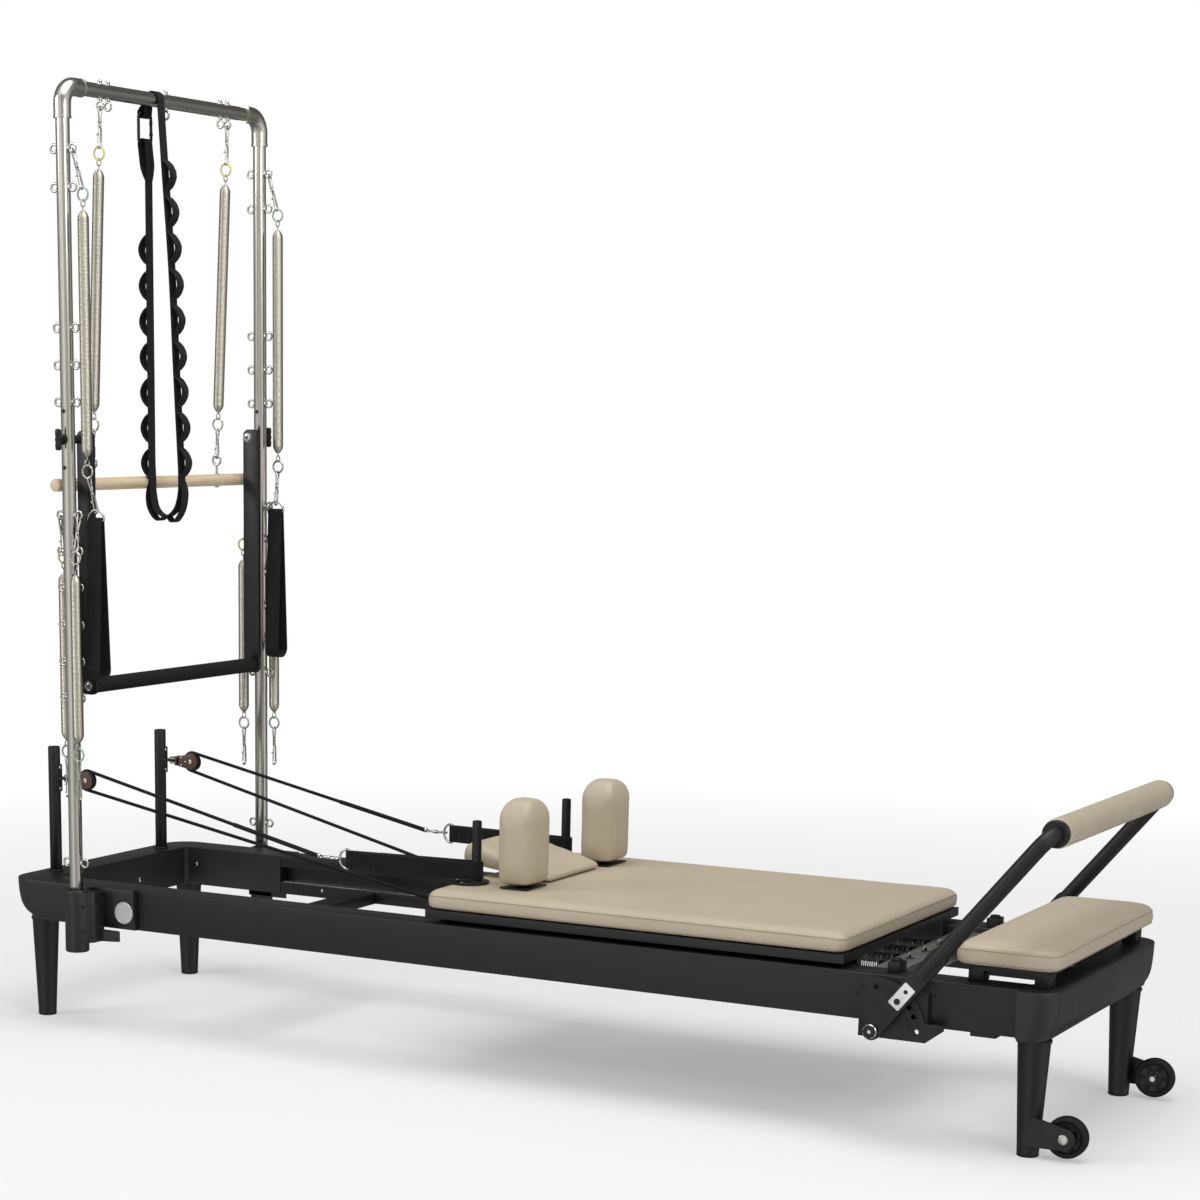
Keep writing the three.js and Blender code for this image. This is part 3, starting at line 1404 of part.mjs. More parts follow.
// Foot platform: a board on four stands, and its pad
function platformBoard() {
  const low = platformHeadX + platformBoardInset;
  const high = platformFootX - platformBoardInset;
  const wide = platformHalfWidth - platformBoardInset;
  const top = platformBottomZ - clearance;
  const board = block(low, high, -wide, wide, top - platformBoardThickness, top);
  const stands = [-1, 1].flatMap((side) => [standHeadX, standFootX].map((x) => {
    const [near, far] = side > 0 ? [wide - standWidth, wide] : [-wide, standWidth - wide];
    const start = Math.max(x, low);
    return block(start, start + standLength, near, far, frameTopZ + clearance, top - platformBoardThickness / 2);
  }));
  return join(board, ...stands);
}

function platformPad() {
  const middle = (platformHeadX + platformFootX) / 2;
  const half = (platformFootX - platformHeadX) / 2;
  const pad = cushion(half, platformHalfWidth, platformPadThickness, platformCornerRadius, padCrown);
  return pad.translate(middle, 0, platformBottomZ);
}

// A point in the plane of the footbar's arms, by its distance along an arm at the given angle
function footbarPoint(distance, y, angle = footbarAngle) {
  return at(footbarPivotX + distance * cosine(angle), y, footbarPivotZ + distance * sine(angle));
}

function footbarFrame() {
  const up = at(cosine(footbarAngle), 0, sine(footbarAngle));
  const bends = [-1, 1].map((side) => {
    return roundedCorner(footbarPoint(footbarReach, side * footbarArmY), up, at(0, -side, 0), footbarBend, footbarBendSteps);
  });
  const start = (side) => footbarPoint(footbarTubeStart, side * footbarArmY);
  const tube = sweep([start(-1), ...bends[0], ...bends[1].reverse(), start(1)], footbarTubeRadius);
  const half = footbarFlatWidth / 2;
  const end = footbarPoint(footbarFlatLength, 0);
  const outline = shapeOf(belt([footbarPivotX, footbarPivotZ], half, [end.x, end.z], half));
  const arms = [-1, 1].map((side) => {
    const y = side * footbarArmY;
    return plateXZ(outline, y - footbarFlatThickness / 2, y + footbarFlatThickness / 2);
  });
  const reach = footbarFlatThickness / 2 + overrun;
  const bores = [-1, 1].flatMap((side) => {
    const y = side * footbarArmY;
    return [
      rod(footbarPoint(0, y - reach), footbarPoint(0, y + reach), boreRadius(pivotPinRadius)),
      rod(footbarPoint(quadrantHoleRadius, y - reach), footbarPoint(quadrantHoleRadius, y + reach), boreRadius(lockPinRadius)),
    ];
  });
  return cut(join(tube, ...arms), ...bores);
}

function footbarPad() {
  const half = footbarArmY - footbarBend - footbarCollarWidth - clearance;
  const end = half + footbarCollarWidth;
  const pad = rod(footbarPoint(footbarReach, -half), footbarPoint(footbarReach, half), footbarPadRadius, roundSides);
  const collars = rod(footbarPoint(footbarReach, -end), footbarPoint(footbarReach, end), footbarCollarRadius, roundSides);
  const over = end + overrun;
  const bore = rod(footbarPoint(footbarReach, -over), footbarPoint(footbarReach, over), boreRadius(footbarTubeRadius));
  return cut(join(pad, collars), bore);
}

// Quadrant: a base on the rail, the plate of position holes and the footbar's pivot pin
function footbarQuadrant() {
  const wall = railHalfSpan + clearance;
  const front = wall + quadrantStandOff;
  const face = front + quadrantThickness;
  const armInner = footbarArmY - footbarFlatThickness / 2;
  const armOuter = footbarArmY + footbarFlatThickness / 2;
  const edge = arc(footbarPivotX, footbarPivotZ, quadrantEdge, quadrantArcStart, quadrantArcEnd, quadrantArcSteps);
  const back = footbarPivotX - quadrantBackReach;
  const plate = plateXZ(shapeOf([
    [back, quadrantBottomZ],
    [footbarPivotX + quadrantEdge, quadrantBottomZ],
    [footbarPivotX + quadrantFootReach, railBottomZ],
    [footbarPivotX + quadrantFootReach, edge[0][1]],
    ...edge,
    [back, edge[quadrantArcSteps][1] - quadrantBackReach],
  ]), front - clearance, face);
  const base = block(back, footbarPivotX + quadrantEdge, wall, front, railBottomZ, quadrantBaseTopZ);
  const pin = rod(footbarPoint(0, front), footbarPoint(0, armOuter + runningClearance), pivotPinRadius);
  const cap = rod(footbarPoint(0, armOuter + clearance), footbarPoint(0, armOuter + pivotCapThickness), pivotCapRadius);
  const washer = rod(footbarPoint(0, front), footbarPoint(0, armInner - clearance), pivotCapRadius);
  const holes = quadrantHoleAngles.map((angle) => rod(
    footbarPoint(quadrantHoleRadius, front - quadrantStandOff / 2, angle),
    footbarPoint(quadrantHoleRadius, face + overrun, angle),
    quadrantHoleSize,
  ));
  return cut(join(plate, base, pin, cap, washer), ...holes);
}

// Lock: a plate on the arm, its pin drawn back to the face of the quadrant
function footbarLock() {
  const low = footbarArmY + footbarFlatThickness / 2 + clearance;
  const up = at(cosine(footbarAngle), 0, sine(footbarAngle));
  const across = at(-up.z, 0, up.x);
  const corner = (along, out) => {
    const point = footbarPoint(along, 0).addScaledVector(across, out);
    return [point.x, point.z];
  };
  const half = lockWidth / 2;
  const outline = shapeOf([corner(lockNear, -half), corner(lockFar, -half), corner(lockFar, half), corner(lockNear, half)]);
  const plate = plateXZ(outline, low, low + lockThickness);
  const tip = railHalfSpan + clearance + quadrantStandOff + quadrantThickness + clearance;
  const pin = rod(footbarPoint(quadrantHoleRadius, tip), footbarPoint(quadrantHoleRadius, low + lockThickness / 2), lockPinRadius);
  return join(plate, pin);
}

// Wheel bracket: a plate from the leg past the wheel's outer face, with the axle
function wheelBracket() {
  const low = wheelY + wheelWidth / 2 + bracketGap;
  const outline = shapeOf([
    [bracketRootX, bracketBottomZ],
    ...arc(wheelAxleX, wheelAxleZ, bracketEndRadius, -90, 60, cornerSteps + 2),
    [bracketRootX, bracketTopZ],
  ]);
  const plate = plateXZ(outline, low, low + bracketThickness);
  const inner = wheelY - wheelWidth / 2 - runningClearance;
  const axle = rod(at(wheelAxleX, inner, wheelAxleZ), at(wheelAxleX, low + bracketThickness / 2, wheelAxleZ), axleRadius);
  const head = rod(at(wheelAxleX, inner - bracketGap, wheelAxleZ), at(wheelAxleX, inner, wheelAxleZ), axleRadius * 2);
  const legSpace = leg(footLegTopZ, clearance).translate(footLegX, legY, 0);
  return cut(join(plate, axle, head), legSpace);
}

function wheel() {
  const bore = boreRadius(axleRadius, roundSides);
  const half = wheelWidth / 2;
  const disc = half - wheelHubInset;
  return wheelAlongY([
    [bore, -half],
    [wheelHubRadius, -half],
    [wheelHubRadius, -disc],
    [wheelRadius - 2 * wheelTyreEase, -disc],
    [wheelRadius - 2 * wheelTyreEase, -half],
    [wheelRadius - wheelTyreEase, -half],
    [wheelRadius, wheelTyreEase - half],
    [wheelRadius, half - wheelTyreEase],
    [wheelRadius - wheelTyreEase, half],
    [wheelRadius - 2 * wheelTyreEase, half],
    [wheelRadius - 2 * wheelTyreEase, disc],
    [wheelHubRadius, disc],
    [wheelHubRadius, half],
    [bore, half],
  ]).translate(wheelAxleX, wheelY, wheelAxleZ);
}

// Pieces in the middle
add('head_end_cap', headEndCap(), 'powderCoat');
add('foot_end_cap', footEndCap(), 'powderCoat');
add('cross_member_head', crossMember(), 'powderCoat');
add('spring_bar', springBar(), 'aluminium');
add('top_bar', topBar(), 'stainless');
add('push_through_bar', pushThroughBar(), 'satinBlack');
add('roll_down_bar', rollDownBar(), 'maple');
add('loop_strap', loopStrap(), 'webbing');
add('loop_strap_carabiner', strapCarabiner(), 'satinBlack');
add('carriage_frame', carriageFrame(), 'powderCoat');
add('carriage_pad', carriagePad(), 'vinyl');
add('carriage_springs', carriageSprings(), 'nickel');
add('headrest_pad', headrest(), 'vinyl');
add('foot_platform_board', platformBoard(), 'powderCoat');
add('foot_platform_pad', platformPad(), 'vinyl');
add('footbar_frame', footbarFrame(), 'powderCoat');
add('footbar_pad', footbarPad(), 'vinyl');
add('footbar_lock', turnedTo(-1, footbarLock()), 'aluminium');

// Pieces that come in pairs, near and far
for (const { name, side } of sides) {
  const pair = (label, geometry, look) => add(`${label}_${name}`, turnedTo(side, geometry), look);
  pair('rail', rail(), 'powderCoat');
  pair('leg_head', leg(headLegTopZ).translate(headLegX, legY, 0), 'satinBlack');
  pair('leg_foot', leg(footLegTopZ).translate(footLegX, legY, 0), 'satinBlack');
  pair('riser', riser(), 'powderCoat');
  pair('tower_socket', socket(), 'powderCoat');
  pair('upright', upright(), 'stainless');
  pair('knob', clampKnob(), 'satinBlack');
  pair('spring_roll_down', rollSpring(), 'nickel');
  pair('spring_arm', armSpring(), 'nickel');
  pair('spring_leg_front', legSpring(1, frontLegSpringX, frontLegSpringY), 'nickel');
  pair('spring_leg_rear', legSpring(-1, backLegSpringX, -backLegSpringY), 'nickel');
  pair('tower_handle', towerHandle(), 'webbing');
  pair('pulley_block', pulleyBlock(), 'resin');
  pair('sheave', sheave(), 'satinBlack');
  pair('rope', rope(), 'webbing');
  pair('handle_strap', handleStrap(), 'webbing');
  pair('shoulder_rest', shoulderRest(), 'vinyl');
  pair('strap_peg', strapPeg(), 'satinBlack');
  pair('footbar_quadrant', footbarQuadrant(), 'powderCoat');
  pair('wheel_bracket', wheelBracket(), 'powderCoat');
  pair('wheel', wheel(), 'rubber');
}

// Centre the unit over the origin, standing on Z = 0
const bounds = new THREE.Box3().setFromObject(part);
part.position.set(-(bounds.min.x + bounds.max.x) / 2, -(bounds.min.y + bounds.max.y) / 2, -bounds.min.z);

export default part;
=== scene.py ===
"""Looks of the pilates reformer bed with its half tower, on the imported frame."""
import math

import bmesh
import bpy
from mathutils import Matrix, Vector


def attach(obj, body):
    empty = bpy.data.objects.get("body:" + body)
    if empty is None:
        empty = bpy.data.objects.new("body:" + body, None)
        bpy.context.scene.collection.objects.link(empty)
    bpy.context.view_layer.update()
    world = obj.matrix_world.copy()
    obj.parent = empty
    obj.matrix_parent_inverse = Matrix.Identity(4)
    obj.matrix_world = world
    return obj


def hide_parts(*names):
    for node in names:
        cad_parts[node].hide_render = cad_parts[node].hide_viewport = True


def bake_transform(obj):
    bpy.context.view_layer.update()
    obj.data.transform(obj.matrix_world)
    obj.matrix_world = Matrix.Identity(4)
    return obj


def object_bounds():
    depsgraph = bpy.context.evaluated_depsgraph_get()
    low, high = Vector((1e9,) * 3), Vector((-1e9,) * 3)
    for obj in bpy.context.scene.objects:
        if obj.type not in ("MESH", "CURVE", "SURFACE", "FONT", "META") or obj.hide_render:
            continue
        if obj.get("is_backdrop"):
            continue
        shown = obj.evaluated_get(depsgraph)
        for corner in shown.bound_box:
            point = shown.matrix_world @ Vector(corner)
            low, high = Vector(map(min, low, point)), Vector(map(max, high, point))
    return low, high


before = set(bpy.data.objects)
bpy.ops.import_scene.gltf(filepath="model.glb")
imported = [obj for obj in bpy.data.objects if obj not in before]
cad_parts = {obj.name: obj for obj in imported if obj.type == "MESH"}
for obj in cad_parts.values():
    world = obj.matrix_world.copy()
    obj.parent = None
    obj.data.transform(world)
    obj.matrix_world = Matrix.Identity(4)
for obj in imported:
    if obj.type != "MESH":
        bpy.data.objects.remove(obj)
cad_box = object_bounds()
scene = bpy.context.scene

MM = 0.001
BED_MIDDLE_X = 22.25
SIDES = (("near", -1), ("far", 1))


def at(x, y, z):
    """A point given in millimetres from the bed's middle line, its drawing datum and the floor"""
    return Vector(((x - BED_MIDDLE_X) * MM, y * MM, z * MM))


X_WAY, Y_WAY, Z_WAY = Vector((1, 0, 0)), Vector((0, 1, 0)), Vector((0, 0, 1))


# Camera, at the photograph's place
def set_camera():
    place = Vector((2.73385, -5.2851, 1.3680))
    yaw, pitch, roll = 0.5626, 0.2279, 0.0025
    focal_pixels, centre_x, centre_y, frame_pixels = 2767.56, 328.99, 1055.13, 1200
    forward = Vector((-math.sin(yaw) * math.cos(pitch), math.cos(yaw) * math.cos(pitch), -math.sin(pitch)))
    right = Vector((math.cos(yaw), math.sin(yaw), 0))
    up = right.cross(forward)
    level_right, level_up = right.copy(), up.copy()
    right = math.cos(roll) * level_right + math.sin(roll) * level_up
    up = -math.sin(roll) * level_right + math.cos(roll) * level_up
    lens = bpy.data.cameras.new("photo_camera")
    lens.sensor_width = 36
    lens.lens = focal_pixels / frame_pixels * lens.sensor_width
    lens.shift_x = 0.5 - centre_x / frame_pixels
    lens.shift_y = centre_y / frame_pixels - 0.5
    lens.clip_end = 200
    camera = bpy.data.objects.new("photo_camera", lens)
    turn = Matrix((right, up, -forward)).transposed().to_4x4()
    camera.matrix_world = Matrix.Translation(place) @ turn
    scene.collection.objects.link(camera)
    scene.camera = camera


set_camera()


# Shader node groups
def new_group(name, inputs, outputs):
    """A shader node group with named sockets, each given as (name, type, default)"""
    group = bpy.data.node_groups.new(name, "ShaderNodeTree")
    for label, kind, default in inputs:
        socket = group.interface.new_socket(name=label, in_out="INPUT", socket_type=kind)
        if default is not None:
            socket.default_value = default
    for label, kind in outputs:
        group.interface.new_socket(name=label, in_out="OUTPUT", socket_type=kind)
    source = group.nodes.new("NodeGroupInput")
    result = group.nodes.new("NodeGroupOutput")
    return group, source, result


def link(tree, start, end):
    tree.links.new(start, end)


def node_of(tree, kind, inputs, **settings):
    """A shader node with its settings; each input is given a value or an output to link"""
    node = tree.nodes.new(kind)
    for name, value in settings.items():
        setattr(node, name, value)
    for key, value in inputs.items():
        if isinstance(value, bpy.types.NodeSocket):
            link(tree, value, node.inputs[key])
        else:
            node.inputs[key].default_value = value
    return node


def maths(tree, operation, first, second=0.5, third=None):
    values = {index: value for index, value in enumerate((first, second, third)) if value is not None}
    return node_of(tree, "ShaderNodeMath", values, operation=operation).outputs[0]


def object_place(tree, scale=None):
    """Object coordinates, stretched by a vector where one is given"""
    place = node_of(tree, "ShaderNodeTexCoord", {}).outputs["Object"]
    if scale is None:
        return place
    return node_of(tree, "ShaderNodeVectorMath", {0: place, 1: scale}, operation="MULTIPLY").outputs[0]


def noise(tree, place, scale, detail=3.0, rough=0.55):
    inputs = {"Vector": place, "Scale": scale, "Detail": detail, "Roughness": rough}
    return node_of(tree, "ShaderNodeTexNoise", inputs).outputs["Fac"]


def mixed_colour(tree, factor, first, second, kind="MIX"):
    inputs = {"Factor": factor, "A": first, "B": second}
    return node_of(tree, "ShaderNodeMix", inputs, data_type="RGBA", blend_type=kind).outputs["Result"]


def ranged(tree, value, low, high, from_low=0.0, from_high=1.0):
    inputs = {"Value": value, "From Min": from_low, "From Max": from_high, "To Min": low, "To Max": high}
    return node_of(tree, "ShaderNodeMapRange", inputs).outputs["Result"]


def bumped(tree, height, strength, distance):
    inputs = {"Height": height, "Strength": strength, "Distance": distance}
    return node_of(tree, "ShaderNodeBump", inputs).outputs["Normal"]


def swung(tree, base, mask, reach):
    """A base value swung up and down by a mask"""
    swing = maths(tree, "MULTIPLY", maths(tree, "SUBTRACT", mask, 0.5), reach)
    return maths(tree, "ADD", base, swing)


def surface_group(name, extra_inputs, build):
    """A group that gives Colour, Roughness and Normal from a base colour and a roughness"""
    inputs = [
        ("Colour", "NodeSocketColor", (0.5, 0.5, 0.5, 1.0)),
        ("Roughness", "NodeSocketFloat", 0.5),
        *extra_inputs,
    ]
    outputs = [
        ("Colour", "NodeSocketColor"), ("Roughness", "NodeSocketFloat"), ("Normal", "NodeSocketVector")
    ]
    group, source, result = new_group(name, inputs, outputs)
    colour, roughness, normal = build(group, source.outputs)
    link(group, colour, result.inputs["Colour"])
    link(group, roughness, result.inputs["Roughness"])
    link(group, normal, result.inputs["Normal"])
    return group


COAT_CLOUD, COAT_RUB = (0.06, 0.06, 0.063, 1), (0.09, 0.09, 0.093, 1)
WEAVE_LIGHT, LINT = (0.02, 0.0205, 0.022, 1), (0.04, 0.04, 0.043, 1)
TARNISH, VINYL_SHADE = (0.62, 0.61, 0.60, 1), (0.86, 0.84, 0.80, 1)
WOOD_STREAK, SCUFF_GREY = (0.74, 0.62, 0.48, 1), (0.14, 0.135, 0.13, 1)


def build_coat(tree, given):
    """Powder coat: fine orange peel, faint cloudiness and rubbed patches"""
    place = object_place(tree)
    peel = noise(tree, place, given["Peel scale"], 2.0)
    cloud = noise(tree, place, 7.0, 4.0)
    rubbed = ranged(tree, noise(tree, place, 23.0, 5.0, 0.7), 0.0, 1.0, 0.56, 0.78)
    lighter = mixed_colour(tree, maths(tree, "MULTIPLY", cloud, given["Cloud"]), given["Colour"], COAT_CLOUD)
    colour = mixed_colour(tree, maths(tree, "MULTIPLY", rubbed, given["Rub"]), lighter, COAT_RUB)
    roughness = swung(tree, given["Roughness"], cloud, 0.22)
    return colour, roughness, bumped(tree, peel, given["Peel depth"], 0.0004)


def build_brushed(tree, given):
    """Metal drawn or brushed along one way: fine streaks and soft tarnish"""
    streaks = noise(tree, object_place(tree, given["Streak"]), 1.0, 4.0, 0.6)
    cloud = noise(tree, object_place(tree), 9.0, 3.0)
    darker = mixed_colour(tree, 1.0, given["Colour"], TARNISH, "MULTIPLY")
    colour = mixed_colour(tree, ranged(tree, streaks, 0.0, 0.55, 0.35, 0.8), given["Colour"], darker)
    colour = mixed_colour(tree, ranged(tree, cloud, 0.0, 0.35, 0.5, 0.85), colour, darker)
    roughness = swung(tree, given["Roughness"], streaks, 0.3)
    return colour, roughness, bumped(tree, streaks, given["Depth"], 0.0002)


def build_vinyl(tree, given):
    """Upholstery vinyl: pebble grain, soft creases and slight shade changes"""
    place = object_place(tree)
    pebble = node_of(tree, "ShaderNodeTexVoronoi", {"Vector": place, "Scale": 900.0}, feature="SMOOTH_F1")
    broad = noise(tree, place, 5.0, 3.0)
    crease = noise(tree, object_place(tree, (34.0, 12.0, 30.0)), 1.0, 3.0, 0.45)
    shade = mixed_colour(tree, 1.0, given["Colour"], VINYL_SHADE, "MULTIPLY")
    colour = mixed_colour(tree, ranged(tree, broad, 0.0, 0.55, 0.35, 0.75), given["Colour"], shade)
    colour = mixed_colour(tree, ranged(tree, pebble.outputs["Distance"], 0.0, 0.22, 0.1, 0.7), colour, shade)
    roughness = swung(tree, given["Roughness"], broad, 0.16)
    grain = maths(tree, "MULTIPLY", pebble.outputs["Distance"], given["Grain"])
    height = maths(tree, "ADD", grain, maths(tree, "MULTIPLY", crease, given["Crease"]))
    return colour, roughness, bumped(tree, height, 0.5, 0.0012)


def build_woven(tree, given):
    """Webbing: ribs across the band, yarns along it and a little lint"""
    place = object_place(tree)
    split = node_of(tree, "ShaderNodeSeparateXYZ", {0: place})
    rib = maths(tree, "SINE", maths(tree, "MULTIPLY", split.outputs["Z"], given["Ribs"]), None)
    along = maths(tree, "ADD", split.outputs["X"], split.outputs["Y"])
    yarn = maths(tree, "SINE", maths(tree, "MULTIPLY", along, given["Yarns"]), None)
    weave = maths(tree, "MULTIPLY", rib, yarn)
    lint = ranged(tree, noise(tree, place, 160.0, 4.0, 0.7), 0.0, 1.0, 0.52, 0.75)
    light = mixed_colour(tree, ranged(tree, weave, 0.0, 0.5, -0.2, 1.0), given["Colour"], WEAVE_LIGHT)
    colour = mixed_colour(tree, maths(tree, "MULTIPLY", lint, 0.3), light, LINT)
    roughness = maths(tree, "ADD", given["Roughness"], maths(tree, "MULTIPLY", lint, 0.08))
    return colour, roughness, bumped(tree, weave, 0.7, 0.0005)


def build_wood(tree, given):
    """Pale turned hardwood: long streaks along the bar and fine pores"""
    streak = noise(tree, object_place(tree, (210.0, 5.0, 210.0)), 1.0, 5.0, 0.6)
    pores = noise(tree, object_place(tree, (900.0, 40.0, 900.0)), 1.0, 3.0, 0.6)
    deep = mixed_colour(tree, 1.0, given["Colour"], WOOD_STREAK, "MULTIPLY")
    colour = mixed_colour(tree, ranged(tree, streak, 0.0, 0.75, 0.35, 0.75), given["Colour"], deep)
    colour = mixed_colour(tree, ranged(tree, pores, 0.0, 0.4, 0.58, 0.8), colour, deep)
    roughness = swung(tree, given["Roughness"], streak, 0.2)
    return colour, roughness, bumped(tree, pores, 0.25, 0.0003)


def build_moulded(tree, given):
    """Moulded plastic and rubber: fine stipple, scuffs and dust"""
    place = object_place(tree)
    stipple = noise(tree, place, 1400.0, 2.0)
    scuff = ranged(tree, noise(tree, place, 55.0, 5.0, 0.7), 0.0, 1.0, 0.55, 0.8)
    colour = mixed_colour(tree, maths(tree, "MULTIPLY", scuff, given["Scuff"]), given["Colour"], SCUFF_GREY)
    roughness = maths(tree, "ADD", given["Roughness"], maths(tree, "MULTIPLY", scuff, 0.15))
    return colour, roughness, bumped(tree, stipple, 0.25, 0.0003)


VALUE = "NodeSocketFloat"
GROUPS = {
    "coat": surface_group(
        "Powder coat",
        [
            ("Peel scale", VALUE, 900.0), ("Peel depth", VALUE, 0.25),
            ("Cloud", VALUE, 0.3), ("Rub", VALUE, 0.15)
        ],
        build_coat
    ),
    "brushed": surface_group(
        "Brushed metal",
        [("Streak", "NodeSocketVector", (900.0, 900.0, 8.0)), ("Depth", VALUE, 0.15)], build_brushed
    ),
    "vinyl": surface_group(
        "Upholstery vinyl", [("Grain", VALUE, 0.18), ("Crease", VALUE, 0.5)], build_vinyl
    ),
    "woven": surface_group(
        "Woven webbing", [("Ribs", VALUE, 2400.0), ("Yarns", VALUE, 2400.0)], build_woven
    ),
    "wood": surface_group("Turned hardwood", [], build_wood),
    "moulded": surface_group("Moulded plastic", [("Scuff", VALUE, 0.2)], build_moulded),
}


def linear(hex_colour):
    """A written colour as the linear values that shaders take"""
    parts = [int(hex_colour[i:i + 2], 16) / 255 for i in (0, 2, 4)]
    return tuple(v / 12.92 if v <= 0.04045 else ((v + 0.055) / 1.055) ** 2.4 for v in parts) + (1.0,)


def finish_of(name, group, colour, roughness, metallic=0.0, sheen=0.0, coat=0.0, shine=0.5, **values):
    """A material: one surface group feeding a Principled shader"""
    material = bpy.data.materials.new(name)
    material.use_nodes = True
    tree = material.node_tree
    shader = tree.nodes["Principled BSDF"]
    looks = {
        "Metallic": metallic, "Sheen Weight": sheen, "Coat Weight": coat, "Specular IOR Level": shine,
        "Coat Roughness": 0.25,
    }
    for label, value in looks.items():
        shader.inputs[label].default_value = value
    given = {label.replace("_", " ").capitalize(): value for label, value in values.items()}
    given.update({"Colour": linear(colour), "Roughness": roughness})
    node = node_of(tree, "ShaderNodeGroup", given, node_tree=GROUPS[group])
    link(tree, node.outputs["Colour"], shader.inputs["Base Color"])
    link(tree, node.outputs["Roughness"], shader.inputs["Roughness"])
    link(tree, node.outputs["Normal"], shader.inputs["Normal"])
    return material


FINISH = {
    "powder_coat": finish_of("black_powder_coat", "coat", "19191A", 0.42, shine=0.3, cloud=0.07, rub=0.03),
    "cast_coat": finish_of(
        "cast_cap_coat", "coat", "1B1B1C", 0.38, coat=0.05, shine=0.35,
        peel_scale=600.0, peel_depth=0.3, cloud=0.08, rub=0.03
    ),
    "satin_black": finish_of("satin_black_fittings", "moulded", "101011", 0.38, shine=0.35, scuff=0.04),
    "grip_foam": finish_of("black_grip_foam", "moulded", "151516", 0.62, shine=0.25, scuff=0.06),
    "stainless": finish_of(
        "stainless_tube", "brushed", "C9C6BE", 0.20, 1.0, streak=(1100.0, 1100.0, 9.0), depth=0.10
    ),
    "stainless_across": finish_of(
        "stainless_cross_tube", "brushed", "C6C3BB", 0.20, 1.0, streak=(1100.0, 9.0, 1100.0), depth=0.10
    ),
    "chrome": finish_of(
        "polished_fittings", "brushed", "BEBCB6", 0.13, 1.0, streak=(260.0, 260.0, 260.0), depth=0.05
    ),
    "spring_wire": finish_of(
        "nickel_spring_wire", "brushed", "BCB8AA", 0.30, 1.0, streak=(700.0, 700.0, 700.0), depth=0.08
    ),
    "ring_yellow": finish_of("yellow_ring", "moulded", "DAD488", 0.4, scuff=0.1),
    "ring_green": finish_of("green_ring", "moulded", "9DB5A0", 0.4, scuff=0.1),
    "aluminium": finish_of(
        "satin_aluminium", "brushed", "C9CBC9", 0.36, 1.0, streak=(14.0, 900.0, 900.0), depth=0.12
    ),
    "plate_white": finish_of(
        "anodised_lock_plate", "brushed", "E4E6E6", 0.42, 0.55, streak=(60.0, 900.0, 60.0), depth=0.10
    ),
    "vinyl": finish_of(
        "beige_vinyl", "vinyl", "BBAF98", 0.46, sheen=0.04, coat=0.03, shine=0.35, grain=0.14, crease=0.25
    ),
    "vinyl_seam": finish_of("beige_vinyl_seam", "vinyl", "A09580", 0.55, grain=0.2, crease=0.1),
    "webbing": finish_of("black_webbing", "woven", "0D0E0F", 0.82, sheen=0.05, shine=0.2),
    "neoprene": finish_of(
        "black_neoprene", "woven", "0E0F10", 0.88, sheen=0.06, shine=0.2, ribs=5200.0, yarns=5200.0
    ),
    "thread": finish_of("black_thread", "moulded", "232326", 0.7, scuff=0.2),
    "rope": finish_of(
        "braided_rope", "woven", "101112", 0.85, sheen=0.06, shine=0.2, ribs=2600.0, yarns=2600.0
    ),
    "wood": finish_of("pale_hardwood", "wood", "E2D0B0", 0.42, coat=0.12),
    "rubber": finish_of("black_rubber", "moulded", "101010", 0.6, shine=0.25, scuff=0.08),
    "resin": finish_of("brown_resin", "moulded", "4A2A1D", 0.4, coat=0.15, scuff=0.06),
    # Bed springs: steel colour darkened as painted shade, for the shadow they lie in under the carriage
    "bed_spring": finish_of(
        "bed_spring_painted_shade", "brushed", "6A6862", 0.34, 1.0, streak=(700.0, 700.0, 700.0), depth=0.08
    ),
    # Near-black painted shade, standing in for the dark inside of holes and screw sockets, and for a thin
    # strip on each rail
    "hole": finish_of("painted_hole_shade", "moulded", "050505", 0.8, scuff=0.02),
}


# Mesh building
NEARLY_ALONG = 0.9


def sideways_of(way, helper=Z_WAY):
    """A direction square to another one and to a helper, or to X where the two nearly run together"""
    return way.cross(helper if abs(way.dot(helper)) < NEARLY_ALONG else X_WAY).normalized()


def ring_faces(rows, width, closed=False):
    """Faces through rows of equal rings, and across both ends unless the last row joins the first"""
    faces = []
    for i in range(rows if closed else rows - 1):
        a, b = i * width, (i + 1) % rows * width
        for j in range(width):
            k = (j + 1) % width
            faces.append([a + j, a + k, b + k, b + j])
    if not closed:
        faces.append(list(range(width - 1, -1, -1)))
        faces.append([(rows - 1) * width + j for j in range(width)])
    return faces


def tangents_along(points, closed):
    """The way a path runs at each of its points"""
    count = len(points)
    if closed:
        ways = [points[(i + 1) % count] - points[i - 1] for i in range(count)]
    else:
        ways = [points[min(i + 1, count - 1)] - points[max(i - 1, 0)] for i in range(count)]
    return [way.normalized() for way in ways]


def frames_along(points, closed):
    """A sideways and an upward direction at each point of a path, turned as little as possible"""
    tangents = tangents_along(points, closed)
    side = sideways_of(tangents[0])
    sides = [side]
    for i in range(1, len(points)):
        turn = tangents[i - 1].rotation_difference(tangents[i])
        side = turn @ side
        side = (side - tangents[i] * side.dot(tangents[i])).normalized()
        sides.append(side)
    return [(s, t.cross(s)) for s, t in zip(sides, tangents)]


SMALLEST_RADIUS = 0.02


def round_outline(radius, sides, flatness=1.0):
    """A circle or an ellipse, its radius in millimetres"""
    angles = [2 * math.pi * j / sides for j in range(sides)]
    return [(radius * MM * math.cos(a), radius * flatness * MM * math.sin(a)) for a in angles]


